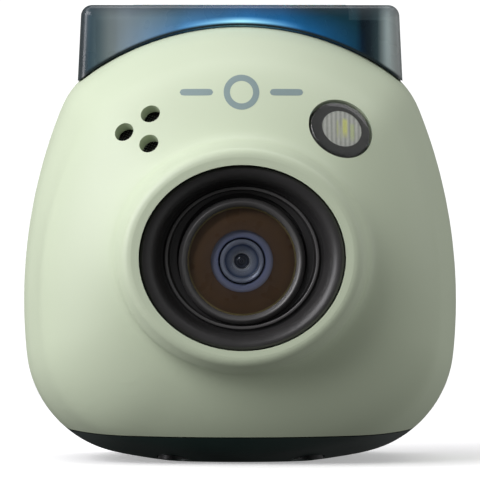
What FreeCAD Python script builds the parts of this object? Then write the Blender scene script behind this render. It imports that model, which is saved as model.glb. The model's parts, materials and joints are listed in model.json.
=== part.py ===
import FreeCAD
import Part
import Sketcher
import math
import os
import re
from FreeCAD import Placement, Rotation, Vector

# Palm-size digital camera: rounded shell with an oval lens collar, smoked rear housing with a block
# on top, dark base cover, LED flash, speaker, round shutter button on the back.
# Millimetres.  +Z is up and the lens looks along -Y.  The origin lies on the table, under the middle
# of the camera's box.

# ---------------------------------------------------------------- driving sizes
SIZES = {
    # outer surface: every cross-section is the front outline, shrunk towards the shell's axis
    "shell_axis": 19.8,        # height of the shell's axis
    "widest_y": 1.0,           # where the camera is widest
    "half_width": 21.15,
    "widest_z": 15.7,
    "side_radius": 50.0,       # gently bowed sides
    "arch_top": 42.6,
    "arch_radius": 25.7,
    "floor_sag": 0.46,         # the bowed underside, before it is cut flat
    "floor_radius": 60.0,
    "shoulder_radius": 8.0,
    "corner_radius": 11.0,
    "front_y": -21.5,
    "rear_y": 20.6,
    "dome_depth": 18.0,        # front dome without its collar
    "rear_depth": 21.5,
    "dome_power_top": 2.2,     # superellipse exponents of the dome and the back
    "dome_power_bottom": 3.0,
    "rear_power": 3.2,
    "collar_half_long": 11.35,
    "collar_half_short": 10.3,
    "collar_taper": 0.22,
    "collar_blend": 4.2,       # higher is a sharper foot of the collar
    "collar_end": -3.0,        # the collar has faded out here
    "collar_fade": 9.0,
    "crest_round": 1.0,
    "rear_round": 1.5,
    "wall": 1.4,
    "cavity_front": -16.6,
    "cavity_rear": 19.2,
    "step": 0.05,              # half a seam between shell pieces
    "seam_tilt": 16.4,         # slanted seam between front shell and rear housing, degrees
    "seam_top_y": 0.5,
    "seam_length": 60.0,
    "base_seam": 3.4,          # height of the seam over the base cover, at mid depth
    "base_slope": 3.4,         # degrees
    "reach": 30.0,             # half the size of every box that cuts the shell
    # smoked block on top
    "block_top": 44.45,
    "block_low": 30.0,
    "block_half_top": 15.5,
    "block_half_low": 16.2,
    "block_front": -3.0,
    "block_rear": 13.0,
    "block_round": 1.1,
    "block_gap": 0.2,          # air between the block and the front shell
    "hollow_half": 14.2,
    "hollow_low": 34.0,
    "hollow_top": 43.15,
    "hollow_rear": 11.6,
    "hollow_wall": 1.4,
    # status light
    "strip_half": 10.75,
    "strip_front": 4.2,
    "strip_rear": 7.2,
    "strip_low": 43.25,
    "strip_top": 44.8,
    "strip_gap": 0.05,
    "strip_round": 0.4,
    "guide_half": 12.0,
    "guide_front": 3.2,
    "guide_rear": 8.2,
    "guide_low": 39.9,
    "guide_top": 42.85,
    "led_board_front": 4.2,
    "led_board_low": 38.1,
    "led_board_top": 38.8,
    "led_board_rear": 9.4,
    "led_long": 1.6,
    "led_wide": 1.0,
    "led_tall": 0.7,
    "led_pitch": 7.5,
    "led_y": 5.7,
    # lens, in depth behind the collar's crest
    "lens_axis": 19.5,
    "bezel_half_long": 9.65,
    "bezel_half_short": 8.65,
    "bezel_gap": 0.1,
    "bezel_front": 0.55,
    "bezel_back": 5.0,
    "bezel_lip": 0.45,
    "dish_half_long": 9.0,
    "dish_half_short": 8.0,
    "dish_mid_long": 8.1,
    "dish_mid_short": 7.3,
    "dish_mid_depth": 2.2,
    "ridge_half_long": 7.15,
    "ridge_half_short": 6.6,
    "ridge_depth": 3.2,
    "groove_depth": 3.8,
    "bezel_bore": 6.1,
    "ring_outer": 6.0,
    "ring_crest": 5.65,
    "ring_inner": 5.15,
    "ring_front": 2.7,
    "ring_bevel": 0.35,
    "ring_seat": 3.55,
    "ring_seat_radius": 5.55,
    "ring_back": 4.6,
    "window_radius": 5.5,
    "window_front": 3.6,
    "window_back": 4.3,
    "mask_inner": 2.95,
    "mask_outer": 5.45,
    "mask_front": 4.33,
    "mask_back": 4.43,
    "gasket_inner": 4.6,
    "gasket_front": 4.48,
    "gasket_back": 5.05,
    "barrel_outer": 3.2,
    "barrel_inner": 2.2,
    "barrel_lip": 1.7,
    "barrel_front": 4.8,
    "barrel_shelf": 9.7,
    "barrel_back": 10.2,
    "retainer_outer": 2.08,
    "retainer_inner": 1.6,
    "retainer_mouth": 1.85,
    "retainer_front": 5.0,
    "retainer_back": 6.0,
    "element_radius": 2.15,
    "element_nose": 1.5,
    "element_tip": 5.45,
    "element_front": 6.05,
    "element_back": 7.2,
    "stop_hole": 0.78,
    "stop_front": 7.25,
    "stop_back": 7.5,
    "middle_front": 7.55,
    "middle_back": 8.4,
    "rear_front": 8.5,
    "rear_back": 9.6,
    "holder_flange": 8.4,
    "holder_front": 5.1,
    "holder_neck_depth": 5.9,
    "holder_neck": 4.4,
    "holder_bore": 3.25,
    "holder_foot": 5.0,
    "holder_foot_depth": 10.3,
    "holder_back": 12.55,
    "holder_room": 3.6,
    "holder_room_depth": 10.5,
    "filter_half": 2.8,
    "filter_front": 10.6,
    "filter_back": 10.9,
    "sensor_half_wide": 3.2,
    "sensor_half_tall": 2.8,
    "sensor_front": 11.75,
    "sensor_back": 12.55,
    "sensor_board_half": 5.5,
    "sensor_board_low": 14.0,
    "sensor_board_high": 26.6,
    "sensor_board_front": 12.6,
    "sensor_board_back": 13.4,
    "flex_half": 2.4,
    "flex_thick": 0.15,
    "flex_start": 24.9,
    "flex_top": 34.9,
    "flex_end": 30.0,
    # flash and speaker: place on the front, then depth below the shell's surface
    "flash_x": 9.5,
    "flash_z": 32.2,
    "flash_hole": 3.2,
    "flash_window_radius": 3.1,
    "flash_window_face": 0.02,
    "flash_window_edge": 0.3,
    "flash_window_back": 0.95,
    "flash_mask_inner": 2.1,
    "flash_mask_outer": 3.0,
    "flash_mask_front": 0.98,
    "flash_mask_back": 1.1,
    "flash_lens_radius": 2.6,
    "flash_lens_front": 1.15,
    "flash_lens_back": 1.75,
    "reflector_outer": 2.6,
    "reflector_mouth": 2.35,
    "reflector_floor": 1.3,
    "reflector_front": 1.8,
    "reflector_floor_depth": 3.1,
    "reflector_back": 3.3,
    "flash_chip_half": 0.75,
    "flash_chip_front": 2.6,
    "flash_chip_back": 3.05,
    "flash_board_radius": 2.7,
    "flash_board_front": 3.35,
    "flash_board_back": 3.95,
    "speaker_x": -9.56,
    "speaker_z": 32.03,
    "sound_hole": 0.95,
    "hole_one_x": -11.2,
    "hole_one_z": 31.81,
    "hole_two_x": -8.7,
    "hole_two_z": 33.54,
    "hole_three_x": -8.83,
    "hole_three_z": 30.68,
    "mesh_radius": 3.0,
    "mesh_front": 1.75,
    "mesh_back": 1.85,
    "speaker_gasket_inner": 2.75,
    "speaker_gasket_back": 2.15,
    "basket_outer": 3.3,
    "basket_inner": 3.05,
    "basket_front": 2.2,
    "basket_floor": 3.65,
    "basket_back": 3.9,
    "diaphragm_rim": 2.5,
    "diaphragm_dome": 2.3,
    "diaphragm_thick": 0.12,
    "magnet_radius": 1.9,
    "magnet_front": 2.85,
    "magnet_back": 3.6,
    # chassis that carries the lens module
    "chassis_front": -8.0,
    "chassis_back": -6.8,
    "chassis_half": 13.0,
    "chassis_low": 5.6,
    "chassis_wing": 19.5,
    "chassis_neck": 5.7,
    "chassis_shoulder": 23.5,
    "chassis_high": 26.9,
    "chassis_window": 4.0,
    "screw_shank": 0.7,
    "screw_head": 1.5,
    "screw_head_tall": 0.7,
    "screw_hole": 0.85,
    "screw_socket": 0.75,
    "screw_head_hole": 1.65,
    "chassis_screw_x": 11.0,
    "chassis_screw_z": 9.5,
    "chassis_screw_tip": -12.0,
    "shell_post": 1.6,
    "shell_post_tip": -19.0,
    "post_socket_tip": -12.4,
    "foot_x": 6.5,
    "foot_y": -6.2,
    "foot_radius": 1.6,
    "foot_low": 3.2,
    "foot_high": 7.4,
    # base cover and tripod bush
    "floor_thick": 1.6,
    "base_post": 1.9,
    "base_post_high": 3.1,
    "base_screw_head": 0.35,
    "base_screw_tip": 6.2,
    "bush_outer": 4.0,
    "bush_bore": 2.55,
    "bush_low": 0.1,
    "bush_roof": 5.1,
    "bush_high": 5.7,
    "boss_outer": 5.3,
    "boss_bore": 4.05,
    "boss_high": 5.2,
    # battery and its cradle
    "battery_half": 11.0,
    "battery_front": -4.7,
    "battery_back": 1.3,
    "battery_low": 8.0,
    "battery_high": 32.0,
    "battery_round": 1.0,
    "cradle_half": 12.4,
    "cradle_inner": 11.2,
    "cradle_front": -4.5,
    "cradle_floor": 1.5,
    "cradle_back": 2.5,
    "cradle_low": 7.0,
    "cradle_high": 30.0,
    # main board
    "board_half": 14.0,
    "board_low": 5.8,
    "board_high": 33.5,
    "board_front": 10.2,
    "board_back": 11.0,
    "can_left": -9.0,
    "can_right": 11.5,
    "can_low": 13.0,
    "can_high": 27.0,
    "can_front": 8.4,
    "can_sheet": 0.2,
    "processor_left": -7.5,
    "processor_low": 15.5,
    "processor_side": 9.0,
    "processor_tall": 1.1,
    "memory_left": 3.5,
    "memory_low": 16.0,
    "memory_wide": 6.0,
    "memory_high": 8.0,
    "memory_tall": 0.9,
    # charging port on the +X side
    "port_z": 16.0,
    "port_half_tall": 4.47,
    "port_half_wide": 1.58,
    "port_inner": 8.0,
    "port_mouth": 15.6,
    "port_sheet": 0.3,
    "port_floor": 9.2,
    "tongue_half_tall": 3.3,
    "tongue_half_thick": 0.35,
    "tongue_end": 15.0,
    "frame_inner": 15.7,
    "frame_outer": 16.5,
    "frame_front": 10.7,
    "frame_back": 16.2,
    "frame_half_tall": 5.8,
    "door_front": 11.0,
    "door_back": 16.6,
    "door_half_tall": 5.5,
    "door_gap": 0.15,
    "door_notch": 1.3,
    # shutter button, in depth inward from the button's crown
    "button_crown_y": 21.5,
    "button_z": 20.4,
    "button_radius": 9.3,
    "button_shoulder": 8.6,
    "button_crown": 0.45,
    "button_bevel": 0.95,
    "button_roof": 1.5,
    "button_flange": 10.1,
    "button_flange_front": 2.4,
    "button_back": 2.9,
    "button_bore": 8.4,
    "button_stem": 1.5,
    "button_stem_end": 4.2,
    "plunger_radius": 1.25,
    "plunger_start": 4.25,
    "plunger_end": 5.75,
    "glow_inner": 9.45,
    "glow_outer": 10.9,
    "glow_face": 0.78,
    "glow_step": 2.1,
    "glow_bore": 10.3,
    "glow_flange": 11.8,
    "glow_flange_front": 2.35,
    "glow_back": 3.0,
    "button_opening": 11.0,
    "switch_half": 3.0,
    "switch_front": 5.2,
    "switch_bore": 1.35,
    "switch_bore_end": 6.5,
    "switch_back": 7.1,
    "switch_board_radius": 7.4,
    "switch_board_back": 7.9,
    # power button on the -X side
    "power_y": 12.2,
    "power_z": 20.0,
    "power_half_wide": 1.3,
    "power_half_tall": 3.5,
    "power_gap": 0.1,
    "power_inner": 16.8,
    "power_flange_outer": 17.6,
    "power_flange_inner": 17.0,
    "power_flange_grow": 0.5,
    "power_switch_outer": 16.2,
    "power_switch_inner": 13.0,
    "power_switch_back": 14.6,
    "power_switch_half_tall": 2.5,
}

doc = FreeCAD.newDocument("palm_camera")
sheet = doc.addObject("Spreadsheet::Sheet", "dim")
for row, (alias, number) in enumerate(SIZES.items(), start=1):
    sheet.set("A%d" % row, alias)
    sheet.set("B%d" % row, str(number))
    sheet.setAlias("B%d" % row, alias)
doc.recompute()

parts = []


def cell(name):
    """The number in the sheet under this name."""
    return float(sheet.get(name))


def formula(text):
    """Words of an expression become cells of the sheet: 'wall + 1' is 'dim.wall + 1'."""
    return re.sub(r"[a-z][a-z_]*(?!\w*\()", r"dim.\g<0>", str(text))


def bind(thing, prop, text):
    thing.setExpression(prop, formula(text))


def keep(thing):
    """Mark an object as one of the camera's own pieces; its label names its file."""
    thing.Label = thing.Name
    parts.append(thing)
    return thing


def place(thing, x="0", y="0", z="0", turn=None):
    """Placement bound to the sheet; turn is a fixed rotation."""
    if turn:
        thing.Placement = Placement(Vector(), turn)
    for axis, text in (("x", x), ("y", y), ("z", z)):
        if str(text) != "0":
            bind(thing, "Placement.Base." + axis, text)
    return thing


# local Z of a turned or extruded piece, in the camera's frame
BACKWARD = Rotation(Vector(1, 0, 0), -90)
FORWARD = Rotation(Vector(1, 0, 0), 90)
RIGHTWARD = Rotation(Vector(0, 1, 0), 90)


# ---------------------------------------------------------------- feature helpers
def box(name, x, y, z):
    """Block between two expressions on each axis."""
    item = doc.addObject("Part::Box", name)
    for side, (low, high) in (("Length", x), ("Width", y), ("Height", z)):
        bind(item, side, "(%s) - (%s)" % (high, low))
    return place(item, x[0], y[0], z[0])


def rod(name, radius, start, end, turn=None, **base):
    """Cylinder from start to end along the turned local Z."""
    item = doc.addObject("Part::Cylinder", name)
    bind(item, "Radius", radius)
    bind(item, "Height", "(%s) - (%s)" % (end, start))
    return place(item, turn=turn, **base)


def cut(name, base, *tools):
    item = doc.addObject("Part::Cut", name)
    item.Base = base
    item.Tool = tools[0] if len(tools) == 1 else fuse(name + "_tools", *tools)
    return item


def fuse(name, *shapes):
    item = doc.addObject("Part::MultiFuse", name)
    item.Shapes = list(shapes)
    return item


def common(name, *shapes):
    item = doc.addObject("Part::MultiCommon", name)
    item.Shapes = list(shapes)
    return item


def plane_of(body, role):
    return next(item for item in body.Origin.OriginFeatures if item.Role == role)


def start_sketch(body, role, suffix="outline"):
    sketch = body.newObject("Sketcher::SketchObject", body.Name + "_" + suffix)
    sketch.AttachmentSupport = [(plane_of(body, role), "")]
    sketch.MapMode = "FlatFace"
    return sketch


def fix_point(sketch, curve, end, across, up):
    """Hold one point of a sketch curve at two expressions from the sketch's origin."""
    for kind, text, other_axis in (("DistanceX", across, -2), ("DistanceY", up, -1)):
        if str(text) == "0":
            sketch.addConstraint(Sketcher.Constraint("PointOnObject", curve, end, other_axis))
            continue
        size = float(sketch.evalExpression(formula(text)))
        number = sketch.addConstraint(Sketcher.Constraint(kind, -1, 1, curve, end, size))
        sketch.setExpression("Constraints[%d]" % number, formula(text))


def draw_polygon(sketch, points):
    """Closed outline of straight lines; every corner is bound to the sheet."""
    values = [tuple(float(sketch.evalExpression(formula(part))) for part in point) for point in points]
    first = sketch.GeometryCount
    count = len(points)
    for i in range(count):
        tip = values[(i + 1) % count]
        sketch.addGeometry(Part.LineSegment(Vector(*values[i], 0), Vector(*tip, 0)), False)
    for i in range(count):
        following = first + (i + 1) % count
        sketch.addConstraint(Sketcher.Constraint("Coincident", first + i, 2, following, 1))
        fix_point(sketch, first + i, 1, *points[i])


def draw_circle(sketch, radius, across="0", up="0"):
    size = float(sketch.evalExpression(formula(radius)))
    spot = Vector(*(float(sketch.evalExpression(formula(text))) for text in (across, up)), 0)
    number = sketch.addGeometry(Part.Circle(spot, Vector(0, 0, 1), size), False)
    fix_point(sketch, number, 3, across, up)
    hold = sketch.addConstraint(Sketcher.Constraint("Radius", number, size))
    sketch.setExpression("Constraints[%d]" % hold, formula(radius))


def turned(name, points, place_now):
    """Piece turned about its local Z from (radius, distance) points, then placed."""
    body = doc.addObject("PartDesign::Body", name)
    sketch = start_sketch(body, "XZ_Plane")
    draw_polygon(sketch, points)
    spin = body.newObject("PartDesign::Revolution", name + "_turn")
    spin.Profile = sketch
    spin.ReferenceAxis = (sketch, ["V_Axis"])
    spin.Angle = 360
    place_now(body)
    return body


def washer(name, inner, outer, front, back, place_now):
    """Flat ring, or a disc when inner is 0."""
    return turned(name, [(inner, front), (outer, front), (outer, back), (inner, back)], place_now)


def plate(name, role, points, thick, holes=(), **base):
    """Flat plate: polygon outline on one of the body's planes, padded by an expression."""
    body = doc.addObject("PartDesign::Body", name)
    sketch = start_sketch(body, role)
    draw_polygon(sketch, points)
    for radius, across, up in holes:
        draw_circle(sketch, radius, across, up)
    pad = body.newObject("PartDesign::Pad", name + "_pad")
    pad.Profile = sketch
    bind(pad, "Length", thick)
    return place(body, **base)


def round_edges(name, base, radius, wanted):
    """Part::Fillet on the edges for which wanted(edge) is true."""
    doc.recompute()
    item = doc.addObject("Part::Fillet", name)
    item.Base = base
    size = cell(radius)
    picked = [i for i, edge in enumerate(base.Shape.Edges, start=1) if wanted(edge)]
    item.Edges = [(i, size, size) for i in picked]
    return item


def pill(name, half_long, half_wide, start, end):
    """Bar along X with a stadium section: long in Z, wide in Y; start and end are X positions."""
    middle = box(name + "_middle", (start, end), ("-(%s)" % half_wide, half_wide),
                 ("-(%s) + (%s)" % (half_long, half_wide), "(%s) - (%s)" % (half_long, half_wide)))
    low = rod(name + "_low", half_wide, start, end, RIGHTWARD, x=start,
              z="-(%s) + (%s)" % (half_long, half_wide))
    high = rod(name + "_high", half_wide, start, end, RIGHTWARD, x=start,
               z="(%s) - (%s)" % (half_long, half_wide))
    return fuse(name, middle, low, high)


# ---------------------------------------------------------------- outer surface
def meeting_point(first, second, upward):
    """Where two circles (centre x, centre z, radius) cross, on the upper or lower side."""
    across = second[0] - first[0]
    rise = second[1] - first[1]
    apart = math.hypot(across, rise)
    along = (first[2] ** 2 - second[2] ** 2 + apart ** 2) / (2 * apart)
    aside = math.sqrt(first[2] ** 2 - along ** 2)
    middle = (first[0] + along * across / apart, first[1] + along * rise / apart)
    turned_by = (aside * rise / apart, -aside * across / apart)
    choices = [(middle[0] + sign * turned_by[0], middle[1] + sign * turned_by[1]) for sign in (1, -1)]
    return max(choices, key=lambda spot: spot[1] * upward)


def outline_circles():
    """Circles of the right half of the front outline, from the arch down to the floor."""
    arch = (0.0, cell("arch_top") - cell("arch_radius"), cell("arch_radius"))
    side = (cell("half_width") - cell("side_radius"), cell("widest_z"), cell("side_radius"))
    floor = (0.0, cell("floor_radius") - cell("floor_sag"), cell("floor_radius"))
    joined = []
    for big, radius, upward in ((arch, cell("shoulder_radius"), 1), (floor, cell("corner_radius"), -1)):
        inside_big = (big[0], big[1], big[2] - radius)
        inside_side = (side[0], side[1], side[2] - radius)
        joined.append(meeting_point(inside_big, inside_side, upward) + (radius,))
    return [arch, joined[0], side, joined[1], floor]


def tangent_angle(first, second):
    """Direction, seen from the shell's axis, in which two tangent circles touch."""
    big, small = (first, second) if first[2] > second[2] else (second, first)
    apart = math.hypot(small[0] - big[0], small[1] - big[1])
    x = big[0] + (small[0] - big[0]) / apart * big[2]
    z = big[1] + (small[1] - big[1]) / apart * big[2]
    return math.atan2(z - cell("shell_axis"), x)


CIRCLES = outline_circles()
TURNS = [tangent_angle(CIRCLES[i], CIRCLES[i + 1]) for i in range(len(CIRCLES) - 1)]


def outline_radius(angle):
    """Distance from the shell's axis to the widest outline; the outline is the same on both sides."""
    angle = math.atan2(math.sin(angle), abs(math.cos(angle)))
    x, z, radius = CIRCLES[sum(1 for turn in TURNS if angle < turn)]
    z -= cell("shell_axis")
    along = x * math.cos(angle) + z * math.sin(angle)
    return along + math.sqrt(radius ** 2 - x * x - z * z + along * along)


def surface_radius(angle, y):
    """Distance from the shell's axis to the outer surface, in this direction and at this depth."""
    depth = y - cell("widest_y")
    if depth > 0:
        power = cell("rear_power")
        return outline_radius(angle) * (1 - (depth / cell("rear_depth")) ** power) ** (1 / power)
    mix = (1 - math.sin(angle)) / 2
    power = cell("dome_power_top") + (cell("dome_power_bottom") - cell("dome_power_top")) * mix
    dome = outline_radius(angle) * (1 - min(-depth / cell("dome_depth"), 1) ** power) ** (1 / power)
    grow = cell("collar_taper") * (y - cell("front_y"))
    long_half = cell("collar_half_long") + grow
    short_half = cell("collar_half_short") + grow
    oval = 1 / math.hypot(math.cos(angle) / long_half, math.sin(angle) / short_half)
    fade = min(max((cell("collar_end") - y) / cell("collar_fade"), 0), 1)
    collar = oval * fade * fade * (3 - 2 * fade)
    blend = cell("collar_blend")
    return (dome ** blend + collar ** blend) ** (1 / blend)


def inner_radius(angle, y):
    """The same surface, one wall thickness further in."""
    slope = (surface_radius(angle, y + 0.05) - surface_radius(angle, y - 0.05)) / 0.1
    return surface_radius(angle, y) - cell("wall") * math.hypot(1, slope)


def skin(radius_at, depths):
    """Solid lofted through smooth closed curves, one at each depth."""
    count = 72
    wires = []
    for y in depths:
        ring = []
        for i in range(count):
            angle = 2 * math.pi * (i + 0.5) / count - math.pi / 2
            radius = radius_at(angle, y)
            ring.append(Vector(radius * math.cos(angle), y, cell("shell_axis") + radius * math.sin(angle)))
        curve = Part.BSplineCurve()
        curve.interpolate(Points=ring, PeriodicFlag=True)
        wires.append(Part.Wire([curve.toShape()]))
    return Part.makeLoft(wires, True, False, False)


def spread(start, end, count, crowd):
    """Depths from start to end, closer together near the start (crowd > 1)."""
    return [start + (end - start) * (i / count) ** crowd for i in range(count + 1)]


def outer_depths():
    middle = cell("widest_y")
    ahead = spread(cell("front_y"), middle, 13, 1.12)
    behind = spread(cell("rear_y"), middle, 7, 1.5)
    return ahead + behind[-2::-1]


def edges_at(shape, y):
    return [edge for edge in shape.Edges
            if abs(edge.BoundBox.YMin - y) < 0.001 and abs(edge.BoundBox.YMax - y) < 0.001]


def shape_feature(name, shape):
    item = doc.addObject("Part::Feature", name)
    item.Shape = shape
    return item


def outer_solid():
    shape = skin(surface_radius, outer_depths())
    shape = shape.makeFillet(cell("crest_round"), edges_at(shape, cell("front_y")))
    shape = shape.makeFillet(cell("rear_round"), edges_at(shape, cell("rear_y")))
    # evens out the tolerances along the rounded crest, so that other solids can be cut with it
    shape.fix(0.00001, 0.00001, 0.001)
    return shape


def cavity_solid():
    middle = cell("widest_y")
    ahead = spread(cell("cavity_front"), middle, 10, 1.3)
    behind = spread(cell("cavity_rear"), middle, 7, 1.4)
    return skin(inner_radius, ahead + behind[-2::-1])


def front_height(x, z):
    """Depth y of the outer surface's front at this x and z, found by halving."""
    angle = math.atan2(z - cell("shell_axis"), x)
    distance = math.hypot(x, z - cell("shell_axis"))
    near, far = cell("front_y") + 0.01, cell("widest_y")
    for _ in range(40):
        middle = (near + far) / 2
        near, far = (middle, far) if surface_radius(angle, middle) < distance else (near, middle)
    return near


def inward_frame(x, z):
    """Placement on the front surface: local Z runs straight into the camera, local X stays level."""
    here = front_height(x, z)
    slope_x = (front_height(x + 0.1, z) - front_height(x - 0.1, z)) / 0.2
    slope_z = (front_height(x, z + 0.1) - front_height(x, z - 0.1)) / 0.2
    inward = Vector(-slope_x, 1, -slope_z)
    level = Vector(1, slope_x, 0)
    return Placement(Vector(x, here, z), Rotation(level, Vector(), inward, "ZXY"))


outer = shape_feature("outer_skin", outer_solid())
grown = shape_feature("outer_skin_grown", skin(lambda angle, y: surface_radius(angle, y)
                                               + cell("block_gap"), outer_depths()))
cavity = shape_feature("inner_skin", cavity_solid())


def slanted_box(name, gap):
    """Everything behind the slanted seam; gap moves the seam plane backwards."""
    item = box(name, ("0", "2 * reach"), ("0", "2 * reach"), ("0", "2 * seam_length"))
    tilt = math.radians(cell("seam_tilt"))
    item.Placement.Rotation = Rotation(Vector(1, 0, 0), cell("seam_tilt"))
    along = "%.9f" % math.sin(tilt)
    upright = "%.9f" % math.cos(tilt)
    bind(item, "Placement.Base.x", "-reach")
    bind(item, "Placement.Base.y", "seam_top_y + seam_length * %s + (%s) * %s" % (along, gap, upright))
    bind(item, "Placement.Base.z", "arch_top - seam_length * %s + (%s) * %s" % (upright, gap, along))
    return item


def above_base(name, gap):
    """Everything above the gently sloping seam of the base cover."""
    item = box(name, ("0", "2 * reach"), ("0", "2 * reach"), ("0", "2 * reach"))
    slope = "%.9f" % math.tan(math.radians(cell("base_slope")))
    item.Placement.Rotation = Rotation(Vector(1, 0, 0), cell("base_slope"))
    bind(item, "Placement.Base.x", "-reach")
    bind(item, "Placement.Base.y", "-reach")
    bind(item, "Placement.Base.z", "base_seam - reach * %s + (%s)" % (slope, gap))
    return item


behind_seam = slanted_box("behind_seam", "step")
ahead_limit = slanted_box("ahead_limit", "-step")
over_base = above_base("over_base", "step")
under_limit = above_base("under_limit", "-step")
flash_frame = inward_frame(cell("flash_x"), cell("flash_z"))
speaker_frame = inward_frame(cell("speaker_x"), cell("speaker_z"))


# ---------------------------------------------------------------- placements of the stacks
def on_lens_axis(thing):
    """Local Z is depth behind the collar's crest, along the lens axis."""
    place(thing, y="front_y", z="lens_axis", turn=BACKWARD)


def on_button_axis(thing):
    """Local Z is depth inward from the shutter button's crown."""
    place(thing, y="button_crown_y", z="button_z", turn=FORWARD)


def in_flash(thing):
    thing.Placement = flash_frame


def in_speaker(thing):
    thing.Placement = speaker_frame


def upright(thing):
    """Turned pieces that already stand on the camera's own Z."""
    place(thing)


# ---------------------------------------------------------------- shell pieces
def oval(name, half_long, half_short, depth):
    """Upright ellipse about the collar's axis, at a depth behind the crest."""
    item = doc.addObject("Part::Ellipse", name)
    bind(item, "MajorRadius", half_long)
    bind(item, "MinorRadius", half_short)
    return place(item, y="front_y + (%s)" % depth, z="shell_axis", turn=BACKWARD)


def oval_loft(name, sections, ruled):
    item = doc.addObject("Part::Loft", name)
    item.Sections = [oval("%s_%d" % (name, i), *section) for i, section in enumerate(sections)]
    item.Solid = True
    item.Ruled = ruled
    return item


def sound_hole(number):
    """Hole square to the surface behind which the speaker sits."""
    item = rod("sound_hole_" + number, "sound_hole", "0", "3 * wall")
    x = cell("hole_%s_x" % number)
    z = cell("hole_%s_z" % number)
    spot = Vector(x, front_height(x, z), z)
    outward = speaker_frame.Rotation.multVec(Vector(0, 0, -1))
    item.Placement = Placement(spot + outward * cell("wall"), speaker_frame.Rotation)
    return item


def flash_hole():
    item = rod("flash_opening", "flash_hole", "0", "4 * wall")
    outward = flash_frame.Rotation.multVec(Vector(0, 0, -1))
    item.Placement = Placement(flash_frame.Base + outward * cell("wall"), flash_frame.Rotation)
    return item


def shell_posts():
    """Two screw posts on the inside of the front shell, with blind sockets."""
    solid = []
    bored = []
    for side, sign in (("left", "-"), ("right", "")):
        x = sign + "chassis_screw_x"
        solid.append(rod("shell_post_" + side, "shell_post", "shell_post_tip", "chassis_front - step",
                         BACKWARD, x=x, y="shell_post_tip", z="chassis_screw_z"))
        bored.append(rod("post_socket_" + side, "screw_socket", "post_socket_tip", "chassis_front",
                         BACKWARD, x=x, y="post_socket_tip", z="chassis_screw_z"))
    return common("posts", outer, fuse("post_rods", *solid)), bored


def front_shell():
    ahead = cut("ahead_of_seam", common("over_seam", outer, over_base), ahead_limit)
    lens_hole = oval_loft("lens_opening", [
        ("bezel_half_long + bezel_gap", "bezel_half_short + bezel_gap", "-1"),
        ("bezel_half_long + bezel_gap", "bezel_half_short + bezel_gap", "bezel_back + wall"),
    ], True)
    posts, sockets = shell_posts()
    hollow = cut("front_hollow", ahead, cavity)
    holes = [sound_hole(number) for number in ("one", "two", "three")]
    keep(cut("front_shell", fuse("front_with_posts", hollow, posts), lens_hole, flash_hole(),
             *holes, *sockets))


def top_block():
    """Block with a slight flare towards its foot and rounded edges."""
    blank = plate("block_blank", "XZ_Plane", [
        ("-block_half_low", "block_low"), ("block_half_low", "block_low"),
        ("block_half_top", "block_top"), ("-block_half_top", "block_top"),
    ], "block_rear - block_front", y="block_rear")
    low = cell("block_low")
    return round_edges("block_rounded", blank, "block_round",
                       lambda edge: edge.BoundBox.ZMax > low + 1)


def rear_housing():
    block = top_block()
    front_part = cut("grown_front", grown, behind_seam)
    behind = common("behind_parts", outer, behind_seam, over_base)
    solid = cut("rear_solid", fuse("rear_with_block", behind, block), front_part)
    hollow_box = box("hollow_box", ("-hollow_half", "hollow_half"), ("block_front", "hollow_rear"),
                     ("hollow_low", "hollow_top"))
    hollow = common("block_hollow", hollow_box, slanted_box("hollow_limit", "step + hollow_wall"))
    slot = box("strip_slot", ("-strip_half - strip_gap", "strip_half + strip_gap"),
               ("strip_front - strip_gap", "strip_rear + strip_gap"),
               ("hollow_top - wall", "block_top + wall"))
    button_hole = rod("button_hole", "button_opening", "cavity_rear - 2 * wall", "rear_y + wall", BACKWARD,
                      y="cavity_rear - 2 * wall", z="button_z")
    door_hole = box("door_hole", ("frame_outer", "reach"),
                    ("door_front - door_gap", "door_back + door_gap"),
                    ("port_z - door_half_tall - door_gap", "port_z + door_half_tall + door_gap"))
    power_hole = pill("power_hole", "power_half_tall + power_gap", "power_half_wide + power_gap",
                      "-reach", "-power_flange_outer + wall")
    place(power_hole, y="power_y", z="power_z")
    keep(cut("rear_housing", solid, cavity, hollow, slot, button_hole, door_hole, power_hole))


def base_cover():
    """Shallow tray under the base seam, cut flat where it stands, with posts and a boss inside."""
    added = [rod("bush_boss", "boss_outer", "floor_thick / 2", "boss_high", z="floor_thick / 2")]
    holes = [rod("bush_hole", "boss_bore", "-wall", "boss_high + wall", z="-wall")]
    for side, sign in (("left", "-"), ("right", "")):
        spot = dict(x=sign + "foot_x", y="foot_y")
        added.append(rod("base_post_" + side, "base_post", "floor_thick / 2", "base_post_high",
                         z="floor_thick / 2", **spot))
        holes.append(rod("base_screw_hole_" + side, "screw_hole", "-wall", "base_post_high + wall",
                         z="-wall", **spot))
        holes.append(rod("base_head_hole_" + side, "screw_head_hole", "-wall",
                         "base_screw_head + screw_head_tall + step", z="-wall", **spot))
    above_table = box("above_table", ("-reach", "reach"), ("-reach", "reach"), ("0", "reach"))
    above_floor = box("above_floor", ("-reach", "reach"), ("-reach", "reach"), ("floor_thick", "reach"))
    doc.recompute()
    # this shallow bowl is cut on its shapes, because the cut objects lose its thin rim
    block = outer.Shape.cut(under_limit.Shape).common(above_table.Shape)
    tray = block.cut(cavity.Shape.common(above_floor.Shape))
    whole = tray.fuse([item.Shape for item in added]).cut([item.Shape for item in holes])
    keep(shape_feature("base_cover", whole))


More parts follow.
